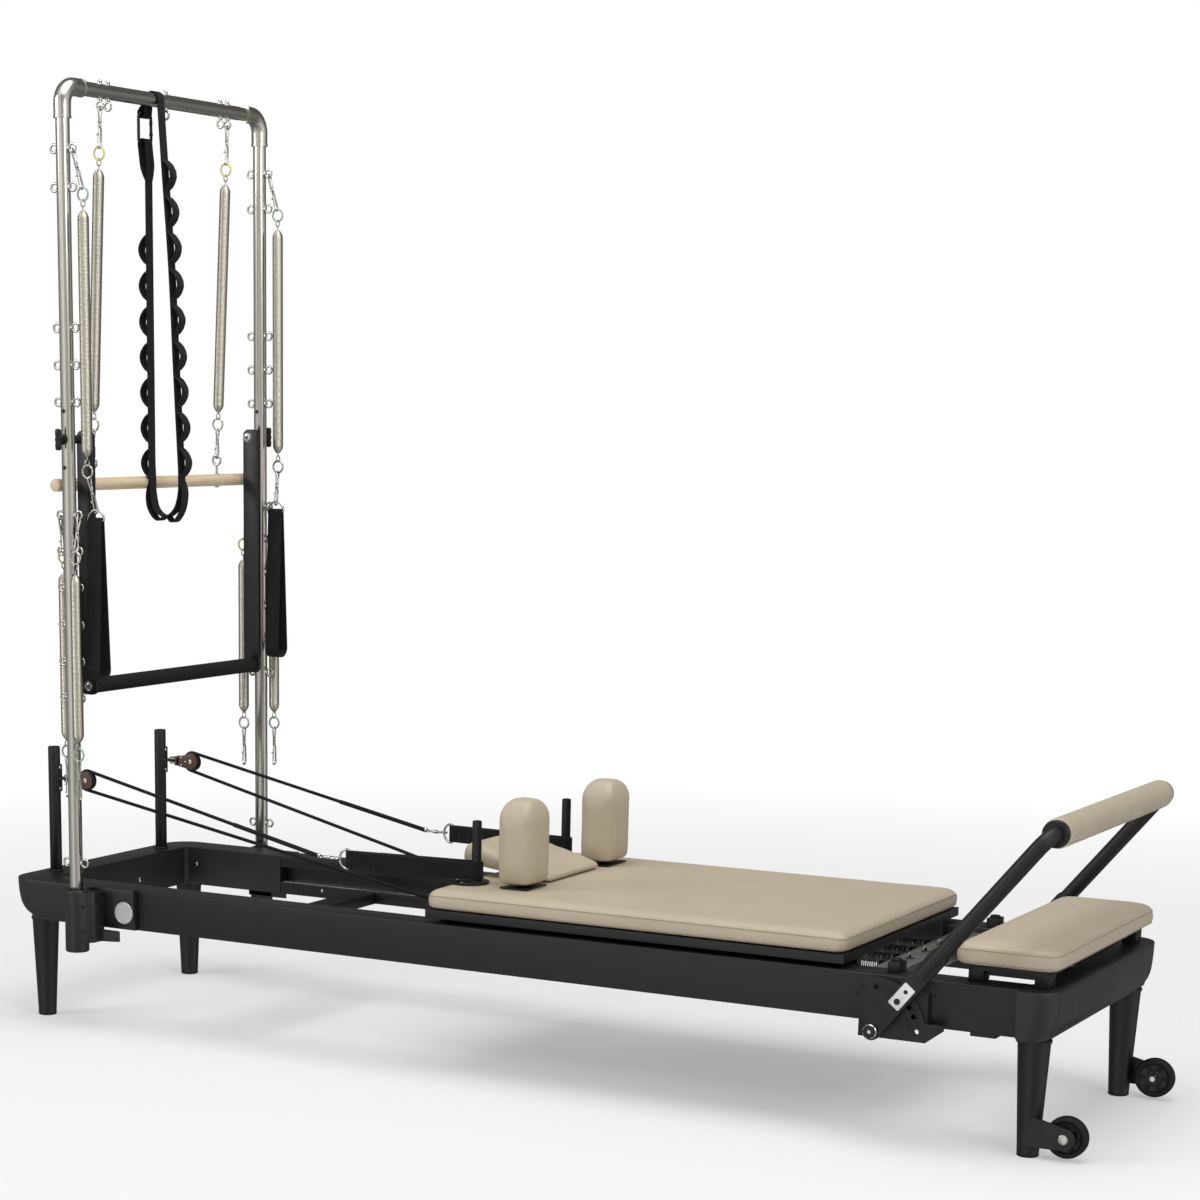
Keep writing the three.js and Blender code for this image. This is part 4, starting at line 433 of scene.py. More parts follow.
class Form:
    """The shells of one piece, each with the index of its finish"""

    def __init__(self):
        self.points, self.faces, self.slots = [], [], []

    def shell(self, points, faces, slot=0):
        start = len(self.points)
        self.points += [p.copy() for p in points]
        self.faces += [[start + i for i in face] for face in faces]
        self.slots += [slot] * len(faces)
        return self

    def sweep(self, path, outline, closed=False, slot=0, side_ways=None):
        """Sweep an outline, given as (side, up) pairs in metres, or one outline for each point"""
        frames = side_ways or frames_along(path, closed)
        points = []
        outlines = outline if isinstance(outline[0], list) else [outline] * len(path)
        for place, (side, up), ring in zip(path, frames, outlines):
            points += [place + side * u + up * v for u, v in ring]
        return self.shell(points, ring_faces(len(path), len(outlines[0]), closed), slot)

    def tube(self, path, radius, sides=20, closed=False, slot=0):
        """A round tube in millimetres; radius may be one number or one for each point"""
        radii = radius if isinstance(radius, list) else [radius] * len(path)
        return self.sweep(path, [round_outline(r, sides) for r in radii], closed, slot)

    def turned(self, profile, base, axis, sides=40, slot=0):
        """Turn a profile of (distance along, radius) pairs, in millimetres, about an axis"""
        axis = axis.normalized()
        path = [base + axis * (along * MM) for along, _ in profile]
        side = sideways_of(axis)
        frames = [(side, axis.cross(side))] * len(profile)
        rings = [round_outline(max(r, SMALLEST_RADIUS), sides) for _, r in profile]
        return self.sweep(path, rings, False, slot, frames)

    def ring(self, centre, radius, wire, normal, slot=0, steps=28, sides=10):
        """A closed wire ring, in millimetres"""
        normal = normal.normalized()
        side = sideways_of(normal)
        up = normal.cross(side)
        path = [centre + (side * math.cos(a) + up * math.sin(a)) * radius * MM
                for a in (2 * math.pi * i / steps for i in range(steps))]
        return self.tube(path, wire, sides, True, slot)

    def block(self, low, high, slot=0):
        xs, ys, zs = (low.x, high.x), (low.y, high.y), (low.z, high.z)
        points = [Vector((x, y, z)) for x in xs for y in ys for z in zs]
        faces = [[0, 1, 3, 2], [4, 6, 7, 5], [0, 4, 5, 1], [2, 3, 7, 6], [0, 2, 6, 4], [1, 5, 7, 3]]
        return self.shell(points, faces, slot)

    def plate(self, outline, offset, slot=0):
        """A flat outline of points, made thick by an offset"""
        count = len(outline)
        points = list(outline) + [p + offset for p in outline]
        faces = [list(range(count - 1, -1, -1)), [count + i for i in range(count)]]
        faces += [[i, (i + 1) % count, count + (i + 1) % count, count + i] for i in range(count)]
        return self.shell(points, faces, slot)

    def band(self, path, across, width, thickness, closed=False, slot=0):
        """Webbing: a flat band with rounded edges that follows a path, its width along one direction"""
        across = across.normalized()
        frames = [(across, way.cross(across).normalized()) for way in tangents_along(path, closed)]
        w, t = width / 2 * MM, thickness / 2 * MM
        e = min(t, w / 4)
        outline = [(-w, -t * 0.4), (-w + e * 0.5, -t), (w - e * 0.5, -t), (w, -t * 0.4),
                   (w, t * 0.4), (w - e * 0.5, t), (-w + e * 0.5, t), (-w, t * 0.4)]
        return self.sweep(path, outline, closed, slot, frames)

    def mesh(self, name):
        data = bpy.data.meshes.new(name)
        data.from_pydata([tuple(p) for p in self.points], [], self.faces)
        data.update()
        for polygon, slot in zip(data.polygons, self.slots):
            polygon.material_index = slot
            polygon.use_smooth = True
        tidy = bmesh.new()
        tidy.from_mesh(data)
        bmesh.ops.recalc_face_normals(tidy, faces=tidy.faces)
        tidy.to_mesh(data)
        tidy.free()
        return data


def placed(name, form, body, finishes, stands_for=(), sharp=38, edge=0.0):
    """Put a form or a mesh in the scene as a piece that rides on a body"""
    data = form.mesh(name) if isinstance(form, Form) else form
    piece = bpy.data.objects.new(name, data)
    scene.collection.objects.link(piece)
    for finish in finishes:
        data.materials.append(FINISH[finish])
    if edge:
        soften = piece.modifiers.new("edges", "BEVEL")
        soften.width = edge * MM
        soften.segments = 2
        soften.limit_method = "ANGLE"
        soften.angle_limit = math.radians(40)
        soften.harden_normals = False
        applied(piece)
    for polygon in piece.data.polygons:
        polygon.use_smooth = True
    piece.data.set_sharp_from_angle(angle=math.radians(sharp))
    if body:
        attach(piece, body)
    if stands_for:
        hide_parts(*([stands_for] if isinstance(stands_for, str) else stands_for))
    return piece


def applied(piece):
    """Apply every modifier of a piece"""
    bpy.context.view_layer.update()
    graph = bpy.context.evaluated_depsgraph_get()
    data = bpy.data.meshes.new_from_object(piece.evaluated_get(graph), depsgraph=graph)
    piece.modifiers.clear()
    piece.data = data


def softened(node, body, finish, edge=1.2, extra=None):
    """A CAD piece with flat faces, its edges eased; extra is a Form of details on it"""
    work = bmesh.new()
    work.from_mesh(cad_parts[node].data)
    bmesh.ops.remove_doubles(work, verts=work.verts, dist=0.00002)
    bmesh.ops.dissolve_limit(work, angle_limit=math.radians(0.6), verts=work.verts, edges=work.edges)
    data = bpy.data.meshes.new(node + "_eased")
    work.to_mesh(data)
    work.free()
    piece = placed(node + "_eased", data, body, [finish], node, 32, edge)
    if extra is not None:
        placed(node + "_fittings", extra[0], body, extra[1], ())
    return piece


def arc(centre, first, second, radius, start, end, steps):
    """Points on an arc in the plane of two directions, angles in degrees"""
    return [centre + (first * math.cos(a) + second * math.sin(a)) * radius * MM
            for a in (math.radians(start + (end - start) * i / steps) for i in range(steps + 1))]


def rounded_loop(centre, first, second, half_first, half_second, corner, steps):
    """A rectangle with round corners in the plane of two directions"""
    out = []
    for u, v, start in ((1, 1, 0), (-1, 1, 90), (-1, -1, 180), (1, -1, 270)):
        middle = centre + (first * u * (half_first - corner) + second * v * (half_second - corner)) * MM
        out += arc(middle, first, second, corner, start, start + 90, steps)
    return out


def corner_points(x, y, radius, start, end, steps):
    """Points of a corner in millimetres, its angles in degrees"""
    angles = [math.radians(start + (end - start) * i / steps) for i in range(steps + 1)]
    return [(x + radius * math.cos(a), y + radius * math.sin(a)) for a in angles]


def screw_head(form, place, way, radius=4.5, slot=0, socket_slot=None):
    """A button-head screw with its hexagon socket"""
    form.turned(
        [(0, radius), (1.2, radius), (2.2, radius * 0.82), (2.6, radius * 0.5), (2.65, 0)],
        place, way, 20, slot
    )
    if socket_slot is not None:
        # The socket is a short stub; in the hole finish it is painted shade in place of a recess
        form.turned([(2.3, radius * 0.42), (2.75, radius * 0.42), (2.75, 0)], place, way, 6, socket_slot)


def helix(start, end, radius, wire, turns, per_turn=12):
    """Points of a coil between two places"""
    length = (end - start).length
    axis = (end - start).normalized()
    side = sideways_of(axis, Y_WAY)
    up = axis.cross(side)
    count = int(turns * per_turn)
    return [
        start + axis * length * i / count
        + (side * math.cos(2 * math.pi * i / per_turn) + up * math.sin(2 * math.pi * i / per_turn))
        * (radius - wire) * MM for i in range(count + 1)
    ]


# Ropes, from the carriage round the sheave to the snap hook
PULLEY_X, PULLEY_Z, PULLEY_Y = -1103, 543, 210
GROOVE, ROPE, ROPE_PLAY = 17.5, 4.0, 0.5
WRAP_START, WRAP_END, WRAP_STEPS = 78, 258, 22
ROPE_ANCHOR, ANCHOR_LEAD = (-141.3, 114, 318), 12
LOWER_STEPS, UPPER_STEPS = 44, 22
CUFF_END = (-385, 226, 424)
PEG = (-79, 204)
D_RING, D_WIRE = 22, 2.5
HOOK_BOW, HOOK_PLAY, ROPE_HOOK = 4.2, 1.4, 58
SLEEVE_LENGTH, SLEEVE_GAP, SLEEVE_STEPS = 234, 6, 16
SLEEVE_HALF_WIDTH, SLEEVE_FLATNESS = 6.2, 4.9 / 6.2


def cuff_heading(side):
    return Vector((CUFF_END[0] - PEG[0], side * (CUFF_END[1] - PEG[1]), 0)).normalized()


def snap_hook(form, start, end, facing, slot=0, width=16.0):
    """A snap hook between two points: swivel eye, barrel, hook and spring gate"""
    along = (end - start).normalized()
    length = (end - start).length / MM
    facing = (facing - along * facing.dot(along)).normalized()
    across = along.cross(facing)
    wire = 2.0
    half = width / 2 - wire
    eye_length = length * 0.40
    eye = [start + along * (wire + half) * MM + (across * math.cos(a) - along * math.sin(a)) * half * MM
           for a in (math.pi * i / 10 for i in range(11))]
    waist = start + along * (eye_length - 3) * MM
    eye += [waist - across * 2.2 * MM, waist + across * 2.2 * MM]
    form.tube(eye, wire, 8, True, slot)
    form.turned([(0, 2.6), (1, 4.0), (4, 4.2), (5.5, 3.2), (8, 3.0), (9, 4.3), (12, 4.3), (13, 2.4)],
                start + along * (eye_length - 5) * MM, along, 14, slot)
    base = start + along * (eye_length + 7) * MM
    tip = end - along * (wire + half) * MM
    hook = [base, base + (along * 5 - across * half * 0.9) * MM]
    hook += [
        tip + (-across * math.cos(a) + along * math.sin(a)) * half
        * MM for a in (math.pi * i / 10 for i in range(10))
    ]
    form.tube(hook, [2.2, 2.2] + [2.4] * 9 + [1.6], 8, False, slot)
    gate_top = tip + across * half * MM - along * 1.5 * MM
    gate_foot = base + (along * 1 + across * half * 0.55) * MM
    form.tube([gate_foot, gate_top], 1.5, 8, False, slot)
    knob = gate_foot.lerp(gate_top, 0.45)
    form.turned([(0, 1.6), (2.5, 1.6), (3.2, 2.4), (4.4, 2.4), (5, 1.4)], knob, across, 10, slot)


def run_length(path):
    return sum((b - a).length for a, b in zip(path, path[1:]))


def make_rope(name, side):
    centre = at(PULLEY_X, side * PULLEY_Y, PULLEY_Z)
    wrap = arc(centre, X_WAY, Z_WAY, GROOVE + ROPE + ROPE_PLAY, WRAP_START, WRAP_END, WRAP_STEPS)
    heading = cuff_heading(side)
    ring_end = at(CUFF_END[0], side * CUFF_END[1], CUFF_END[2])
    hook_end = ring_end + heading * (D_RING - D_WIRE - HOOK_BOW - HOOK_PLAY) * MM
    hook_start = hook_end + heading * ROPE_HOOK * MM
    hook_point = hook_start - heading * HOOK_BOW * MM
    anchor = at(ROPE_ANCHOR[0], side * ROPE_ANCHOR[1], ROPE_ANCHOR[2])
    lead = anchor - X_WAY * ANCHOR_LEAD * MM
    lower = [anchor] + [lead.lerp(wrap[-1], i / LOWER_STEPS) for i in range(LOWER_STEPS + 1)] + wrap[-2::-1]
    upper = [wrap[0].lerp(hook_point, i / UPPER_STEPS) for i in range(1, UPPER_STEPS + 1)]
    upper = [wrap[0] + (upper[0] - wrap[0]).normalized() * 0.6 * MM] + upper

    body = Form().tube(lower, ROPE, 12)
    rope = placed("rope_lower_" + name, body, None, ["rope"], "rope_" + name, 60)
    run_length(lower)
    [tuple(p) for p in lower]
    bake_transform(rope)

    body = Form().tube(upper, ROPE, 12)
    lead_rope = placed("rope_upper_" + name, body, None, ["rope"], (), 60)
    back = (wrap[0] - hook_point).normalized()
    sleeve_start = hook_point + back * SLEEVE_GAP * MM
    path = [sleeve_start + back * SLEEVE_LENGTH * MM * i / SLEEVE_STEPS for i in range(SLEEVE_STEPS + 1)]
    sleeve = Form().sweep(path, round_outline(SLEEVE_HALF_WIDTH, 14, SLEEVE_FLATNESS))
    wrapped = placed("rope_sleeve_" + name, sleeve, None, ["neoprene"], (), 60)
    hook = Form()
    snap_hook(hook, hook_start, hook_end, Z_WAY)
    ferrule = [(0, 4.6), (2, 5.4), (9, 5.4), (11, 4.6)]
    hook.turned(ferrule, hook_point + back * 14 * MM, -back, 16, 0)
    clip = placed("rope_hook_" + name, hook, "carriage", ["chrome"], ())
    tuple(upper[0])
    run_length(upper)
    [tuple(p) for p in upper]
    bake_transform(lead_rope)
    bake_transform(wrapped)


for side_name, side_sign in SIDES:
    make_rope(side_name, side_sign)


# Rails, cross members and end caps
RAIL_BOTTOM, FRAME_TOP, RAIL_HALF, RAIL_INNER = 233, 324, 329, 258
RAIL_HOLES = ((833, 283, 4), (842, 300, 3), (968, 286, 4.5), (968, 256, 4.5), (982, 246, 4.5))
RAIL_SCREWS = (-760, -640, -300, 60, 420, 700)
SPRING_PITCH, SPRING_COUNT, SPRING_BAR_TOP = 88, 5, 313


def spring_places():
    """Where each bed spring lies across the bed"""
    return [(i - (SPRING_COUNT - 1) / 2) * SPRING_PITCH for i in range(SPRING_COUNT)]


def make_rails():
    for name, side in SIDES:
        fittings = Form()
        out = Y_WAY * side
        face = side * RAIL_HALF
        # Flat discs in the hole finish: holes in the rail shown by painted shade
        for x, z, r in RAIL_HOLES:
            fittings.turned([(-0.2, r), (0.25, r), (0.25, 0)], at(x, face, z), out, 18, 1)
        for x in RAIL_SCREWS:
            screw_head(fittings, at(x, side * RAIL_INNER, 250), -out, 4.2, 0, 1)
        fittings.block(at(-872, face - side * 0.2, 234), at(-868, face + side * 0.3, 323), 1)
        softened(
            "rail_" + name, "frame", "powder_coat", 1.6, (fittings, ["chrome", "hole"])
        )
        foot = Form()
        foot.block(at(1060, side * 300, 226), at(1110, side * 328, 233.2), 0)
        placed("rail_pad_plate_" + name, foot, "frame", ["satin_black"], (), 40, 0.8)
        track = Form()
        track.block(at(-872, side * (RAIL_INNER + 2), 262.4), at(1140, side * (RAIL_INNER + 27), 263.4), 0)
        placed("rail_track_strip_" + name, track, "frame", ["aluminium"], ())
    softened("cross_member_head", "frame", "powder_coat", 1.4)
    fittings = Form()
    for y in spring_places():
        fittings.ring(at(846, y, SPRING_BAR_TOP + 0.3), 8.2, 1.1, Z_WAY, 1)
    for i in range(SPRING_COUNT + 1):
        y = (i - SPRING_COUNT / 2) * SPRING_PITCH
        screw_head(fittings, at(827, y, SPRING_BAR_TOP), Z_WAY, 3.6, 0, 1)
    softened("spring_bar", "frame", "aluminium", 0.8, (fittings, ["chrome", "satin_black"]))


CAP_EDGE, CAP_INNER_CORNER = 7, 10
CAP_LEVEL_SHARES = (
    (0.0, 1.0), (0.03, 0.995), (0.09, 0.84), (0.16, 0.58), (0.26, 0.36), (0.38, 0.2), (0.5, 0.12),
    (0.65, 0.055), (0.82, 0.018), (0.975, 0.0), (0.993, -0.03), (1.0, -0.1),
)


def cap_outline(reach, arm, wide, rim, corner):
    """One level of an end cap, drawn for the foot end, in millimetres"""
    inner_x, inner_y = rim - CAP_INNER_CORNER, RAIL_INNER - CAP_INNER_CORNER
    return [
        (arm, -RAIL_INNER), (arm, -wide),
        *corner_points(reach - corner, corner - wide, corner, 270, 360, 12),
        *corner_points(reach - corner, wide - corner, corner, 0, 90, 12),
        (arm, wide), (arm, RAIL_INNER),
        *corner_points(inner_x, inner_y, CAP_INNER_CORNER, 90, 0, 4),
        *corner_points(inner_x, -inner_y, CAP_INNER_CORNER, 0, -90, 4),
    ]


def make_end_cap(node, way, end, arm, half, rim, corner, flare, side_flare, drop):
    height = FRAME_TOP - RAIL_BOTTOM
    lowest = [RAIL_BOTTOM - drop, RAIL_BOTTOM - 0.2] if drop else [RAIL_BOTTOM]
    rings = [(z, flare + CAP_EDGE, side_flare + CAP_EDGE) for z in lowest]
    for share, inset in CAP_LEVEL_SHARES:
        z = RAIL_BOTTOM + height * share + (0.01 if share == 0 else 0)
        rounding = -min(inset, 0) * 22
        rings.append((z, max(inset, 0) * flare + rounding, max(inset, 0) * side_flare + rounding))
    points = []
    for z, inset_x, inset_y in rings:
        radius = corner - (inset_x + inset_y) / 4
        outline = cap_outline(end - inset_x, arm, half - inset_y, end - rim, radius)
        points += [at(way * x, y * way, z) for x, y in outline]
    form = Form().shell(points, ring_faces(len(rings), len(points) // len(rings)))
    inner_x = way * (end - rim)
    screw_y, screw_x = (66, -1127) if way < 0 else (150, 1155)
    for y in (-screw_y, screw_y):
        screw_head(form, at(inner_x, y, 268), -X_WAY * way, 6.5, 1, 2)
    for side in (-1, 1):
        screw_head(form, at(screw_x, side * RAIL_INNER, 284), -Y_WAY * side, 5.0, 1, 2)
    if way < 0:
        disc = at(-907, -half + 1.2, 272)
        form.turned(
            [(0, 25), (1.6, 25), (2.4, 24.2), (2.5, 22.6), (2.1, 22.2), (2.1, 0)], disc, -Y_WAY, 48, 3
        )
    placed(
        node + "_cast", form, "frame", ["cast_coat", "chrome", "hole", "aluminium"],
        node, 35
    )


def make_legs():
    for end, x, top in (("head", -1172, 232.7), ("foot", 1172, 226.7)):
        for name, side in SIDES:
            node = f"leg_{end}_{name}"
            form = Form()
            form.turned(
                [
                    (0, 18.4), (0.4, 19.2), (2, 20.4), (5, 20.7), (top - 10, 30.8), (top - 6.6, 31.2),
                    (top - 6.3, 32.6), (top - 5.6, 33), (top - 0.6, 33), (top, 32.4)
                ],
                at(x, side * 288, 0), Z_WAY, 56
            )
            form.turned(
                [(0.05, 19.6), (1.8, 20.9), (4.5, 21.0), (5.0, 20.5)], at(x, side * 288, 0), Z_WAY, 56, 1
            )
            placed(node + "_turned", form, "frame", ["satin_black", "rubber"], node)


make_rails()
make_end_cap("head_end_cap", -1, 1241, 880, 343, 82, 66, 42, 8, 0)
make_end_cap("foot_end_cap", 1, 1222, 1150, 341, 60, 50, 15, 3, 6)
make_legs()


# Tower
TOWER_X, TOWER_Y, TUBE, TOP_BAR = -1013, 376.6, 15.2, 2042.5
UPRIGHT_SHARES = (0.9259, 0.88, 0.7116, 0.6663, 0.621, 0.4813, 0.436, 0.3904, 0.3427, 0.2963, 0.2504, 0.0354)
SOCKET_TOP, UPRIGHT_FOOT = 321, 200.6
EYE_HEIGHTS = [SOCKET_TOP + (TOP_BAR - SOCKET_TOP) * share for share in UPRIGHT_SHARES]
PIVOT_Z = SOCKET_TOP + (TOP_BAR - SOCKET_TOP) * 0.5751
EYE_RING, EYE_WIRE, EYE_STAND_OFF = 8.6, 2.6, 24.8
PUSH_Y, PUSH_HALF_THICK, PUSH_HALF_WIDTH, PUSH_CORNER = 326, 5, 22, 14
PUSH_LENGTH, PUSH_OVERHANG, PUSH_FORWARD = 537, 19, 9
ELBOW, ELBOW_END, HANG_DROP = 38, 66, 29
ROLL_Y, ROLL_DROP, ROLL_BACK, ROLL_EYE_RISE = 243, 829.5, 35.4, 46
ARM_SPRING, HANDLE_DROP, HANDLE_FORWARD, HANDLE_INWARD = 672, 104, 57, 19.6


def eye_bolt(form, root, way, stand_off):
    """A lifting eye: collar, shank and ring"""
    form.turned(
        [(-1, 5.6), (2.0, 5.6), (2.6, 4.8), (3.2, 3.2), (max(stand_off - EYE_RING, 3.6), 2.9)],
        root, way, 14, 1
    )
    form.ring(root + way * stand_off * MM, EYE_RING, EYE_WIRE, Y_WAY, 1, 26, 10)


def make_tower():
    for name, side in SIDES:
        y = side * TOWER_Y
        form = Form()
        length = TOP_BAR - ELBOW - UPRIGHT_FOOT
        form.turned([(0, TUBE - 0.6), (1, TUBE), (length, TUBE)], at(TOWER_X, y, UPRIGHT_FOOT), Z_WAY, 40)
        for z in EYE_HEIGHTS:
            for way in (-1, 1):
                eye_bolt(
                    form, at(TOWER_X + way * (TUBE - 0.3), y, z), X_WAY * way, EYE_STAND_OFF - TUBE + 0.3
                )
        for step in (-60, 60):
            for way in (-1, 1):
                place = at(TOWER_X, y + way * (TUBE - 0.55), PIVOT_Z + step)
                form.turned([(0, 4.6), (0.75, 4.6), (0.75, 0)], place, Y_WAY * way, 18, 2)
        inner = side * (PUSH_Y - PUSH_HALF_THICK - 0.3)
        way = Y_WAY * side
        form.turned(
            [(-4.0, 5.5), (-3.4, 8.2), (-2.2, 9.0), (-0.1, 9.0)], at(TOWER_X, inner, PIVOT_Z), way, 26, 1
        )
        form.turned([(-4.3, 3.4), (-3.9, 3.4)], at(TOWER_X, inner, PIVOT_Z), way, 6, 2)
        form.turned([(0, 5.9), (11, 5.9)], at(TOWER_X, inner, PIVOT_Z), way, 20, 1)
        gap = TOWER_Y - PUSH_Y - TUBE
        form.turned([(10.8, 9.0), (gap + 6, 9.0), (gap + 8, 8)], at(TOWER_X, inner, PIVOT_Z), way, 24, 2)
        placed("upright_tube_" + name, form, "frame", ["stainless", "chrome", "satin_black"],
               "upright_" + name, 40)

        form = Form()
        cup = [
            (0, 24.5), (1.2, 26.4), (3, 27), (137.5, 27), (140, 26.2),
            (141, 24.2), (141, 17.2), (138.5, 15.9), (22, 15.9), (22, 0.05)
        ]
        form.turned(cup, at(TOWER_X, y, 180), Z_WAY, 48)
        wall, lug = 343.3, 27 * 0.62
        outline = [
            (-lug, wall), (52, wall), (52, TOWER_Y + lug - 14), (38, TOWER_Y + lug),
            (-lug + 6, TOWER_Y + lug), (-lug, TOWER_Y + lug - 6)
        ]
        base = [at(TOWER_X + x, side * v, 204) for x, v in outline]
        form.plate(base, Z_WAY * 113 * MM)
        outline = [(-lug + 1, wall), (96, wall), (52, wall + 14), (-lug + 1, wall + 14)]
        form.plate([at(TOWER_X + x, side * v, 204.1) for x, v in outline], Z_WAY * 25.9 * MM)
        placed(
            "tower_socket_cast_" + name, form, "frame", ["cast_coat"],
            "tower_socket_" + name, 40, 1.6
        )
        bolts = Form()
        for z in (232, 288):
            screw_head(bolts, at(TOWER_X + 30, side * (TOWER_Y + lug), z), Y_WAY * side, 5.5, 0, 1)
        placed("tower_socket_bolts_" + name, bolts, "frame", ["satin_black", "hole"], ())

    form = Form()
    reach = TOWER_Y - ELBOW_END + ELBOW
    form.turned([(0, TUBE), (2 * reach, TUBE)], at(TOWER_X, -reach, TOP_BAR), Y_WAY, 40)
    for name, side in SIDES:
        y = side * TOWER_Y
        centre = at(TOWER_X, y - side * ELBOW, TOP_BAR - ELBOW)
        bend = arc(centre, Y_WAY * side, Z_WAY, ELBOW, 0, 90, 14)
        lip = (ELBOW_END, ELBOW_END - 4, ELBOW_END - 4.5)
        below = [at(TOWER_X, y, TOP_BAR - drop) for drop in lip]
        inward = [at(TOWER_X, side * (TOWER_Y - step), TOP_BAR) for step in lip[::-1]]
        path = [*below, *bend, *inward]
        radii = [19.5, 19.5, 18.6] + [18.9] * len(bend) + [18.6, 19.5, 19.5]
        form.tube(path, radii, 36, False, 0)
    for y in (0, ROLL_Y, 215, -ROLL_Y, -215):
        middle = at(TOWER_X, y, TOP_BAR)
        shank = [(TUBE - 1, 5.4), (TUBE + 2.2, 5.4), (TUBE + 2.8, 3), (HANG_DROP - EYE_RING, 2.8)]
        form.turned(shank, middle, -Z_WAY, 12, 1)
        form.ring(at(TOWER_X, y, TOP_BAR - HANG_DROP), EYE_RING, EYE_WIRE, Y_WAY, 1, 26, 10)
        nut = ((-1.2, 6.2), (0.6, 6.2), (1.0, 5.2), (4.8, 5.0), (7.4, 4.0), (8.8, 2.2), (9.0, 0))
        form.turned([(TUBE + rise, r) for rise, r in nut], middle, Z_WAY, 18, 1)
    placed("top_bar_tube", form, "frame", ["stainless_across", "chrome"], "top_bar", 40)


def make_push_through():
    bottom, x = PIVOT_Z - PUSH_LENGTH, TOWER_X + PUSH_FORWARD
    form = Form()
    for side in (-1, 1):
        centre = at(x, side * PUSH_Y - PUSH_HALF_THICK, (PIVOT_Z + bottom) / 2)
        half_height = PUSH_LENGTH / 2 + PUSH_OVERHANG
        outline = rounded_loop(centre, X_WAY, Z_WAY, PUSH_HALF_WIDTH, half_height, PUSH_CORNER, 8)
        form.plate(outline, Y_WAY * 2 * PUSH_HALF_THICK * MM)
    placed(
        "push_through_arms", form, "push_through", ["satin_black"],
        "push_through_bar", 40, 1.6
    )
    form = Form()
    inner = 320.8
    form.turned(
        [(0, 16.2), (0.8, 17), (2 * inner - 0.8, 17), (2 * inner, 16.2)],
        at(x, -inner, bottom), Y_WAY, 40, 0
    )
    for side in (-1, 1):
        screw_head(form, at(x, side * 331, bottom), Y_WAY * side, 7.5, 1, 2)
        form.ring(at(x, side * 331.3, bottom), 9.5, 1.2, Y_WAY, 1)
        form.ring(at(TOWER_X, side * 320.7, PIVOT_Z), 10.2, 0.9, Y_WAY, 1)
    placed("push_through_grip", form, "push_through", ["grip_foam", "chrome", "hole"], ())


def make_knobs():
    for name, side in SIDES:
        way = Y_WAY * side
        wall = at(TOWER_X, side * (TOWER_Y + TUBE + 0.3), PIVOT_Z)
        form = Form()
        form.turned([(0, 10.2), (0.8, 11), (5.2, 11), (6, 10), (6.6, 7), (20, 6.6)], wall, way, 28)
        tee = wall + way * 20 * MM
        form.turned(
            [
                (-23, 1.5), (-22.4, 4.6), (-20.5, 6.6), (-12, 7.1), (-6, 6.2),
                (0, 7.6), (6, 6.2), (12, 7.1), (20.5, 6.6), (22.4, 4.6), (23, 1.5)
            ],
            tee, Z_WAY, 24
        )
        placed(
            "clamp_knob_" + name, form, "knob_" + name,
            ["satin_black"], "knob_" + name, 50
        )


make_tower()
make_push_through()
make_knobs()


# Tower springs
LINK_RING, LINK_WIRE, SPRING_EYE = 13.5, 2.3, 7.2


def wound_body(form, top, bottom, slot=0, radius=12.5, pitch=2.7, sides=20):
    """A close-wound spring body: one threaded skin with tapered ends"""
    axis = (bottom - top).normalized()
    length = (bottom - top).length / MM
    side = sideways_of(axis, Y_WAY)
    up = axis.cross(side)
    shares = (0.0, 0.34, 0.66)
    levels = [(turn + share) * pitch for turn in range(int(length / pitch)) for share in shares] + [length]
    points = []
    for level in levels:
        for j in range(sides):
            angle = 2 * math.pi * j / sides
            along = min(max(level + pitch * j / sides, 0), length)
            phase = (level / pitch) % 1.0
            groove = 0.62 if phase < 0.2 or phase > 0.9 else 0.0
            near_end = min(along, length - along)
            ease = 1.0 if near_end > 17 else 0.36 + 0.64 * math.sin(math.pi / 2 * near_end / 17)
            r = max(radius * ease - groove, 1.6)
            points.append(top + axis * along * MM + (side * math.cos(angle) + up * math.sin(angle)) * r * MM)
    form.shell(points, ring_faces(len(levels), sides), slot)


def hung_spring(name, body, node, hang, upper, top, bottom, lower, end, upper_colour, lower_colour):
    """Hook, colour ring, wound body with its end loops, second ring and lower hook"""
    along = (bottom - top).normalized()
    gap = (LINK_RING + SPRING_EYE - LINK_WIRE) * MM
    upper_eye, lower_eye = upper + along * gap, lower - along * gap
    down = (upper - hang).normalized()
    wire = hang + Vector((down.x, 0, down.z)).normalized() * EYE_RING * MM
    hook_start = wire - down * (EYE_WIRE + HOOK_BOW + HOOK_PLAY) * MM
    hook_end = upper + down * (HOOK_BOW - LINK_RING) * MM
    lower_way = (end - lower).normalized()
    lower_start = lower + lower_way * (LINK_RING - HOOK_BOW) * MM
    form = Form()
    snap_hook(form, hook_start, hook_end, X_WAY, 1)
    form.ring(upper, LINK_RING, LINK_WIRE, Y_WAY, 2)
    form.ring(upper_eye, SPRING_EYE, 1.5, X_WAY, 0)
    wound_body(form, top, bottom, 0)
    form.tube([upper_eye + along * SPRING_EYE * MM, top + along * 3 * MM], 1.5, 8, False, 0)
    form.tube([bottom - along * 3 * MM, lower_eye - along * SPRING_EYE * MM], 1.5, 8, False, 0)
    form.ring(lower_eye, SPRING_EYE, 1.5, X_WAY, 0)
    form.ring(lower, LINK_RING, LINK_WIRE, Y_WAY, 3)
    snap_hook(form, lower_start, end, X_WAY, 1)
    finishes = ["spring_wire", "chrome", upper_colour, lower_colour]
    placed(name, form, body, finishes, node, 50)


LEG_SPRINGS = (
    ("front", 1, 26.6, 17.5, "chrome", "ring_green"), ("rear", -1, 36, -22, "ring_yellow", "chrome")
)


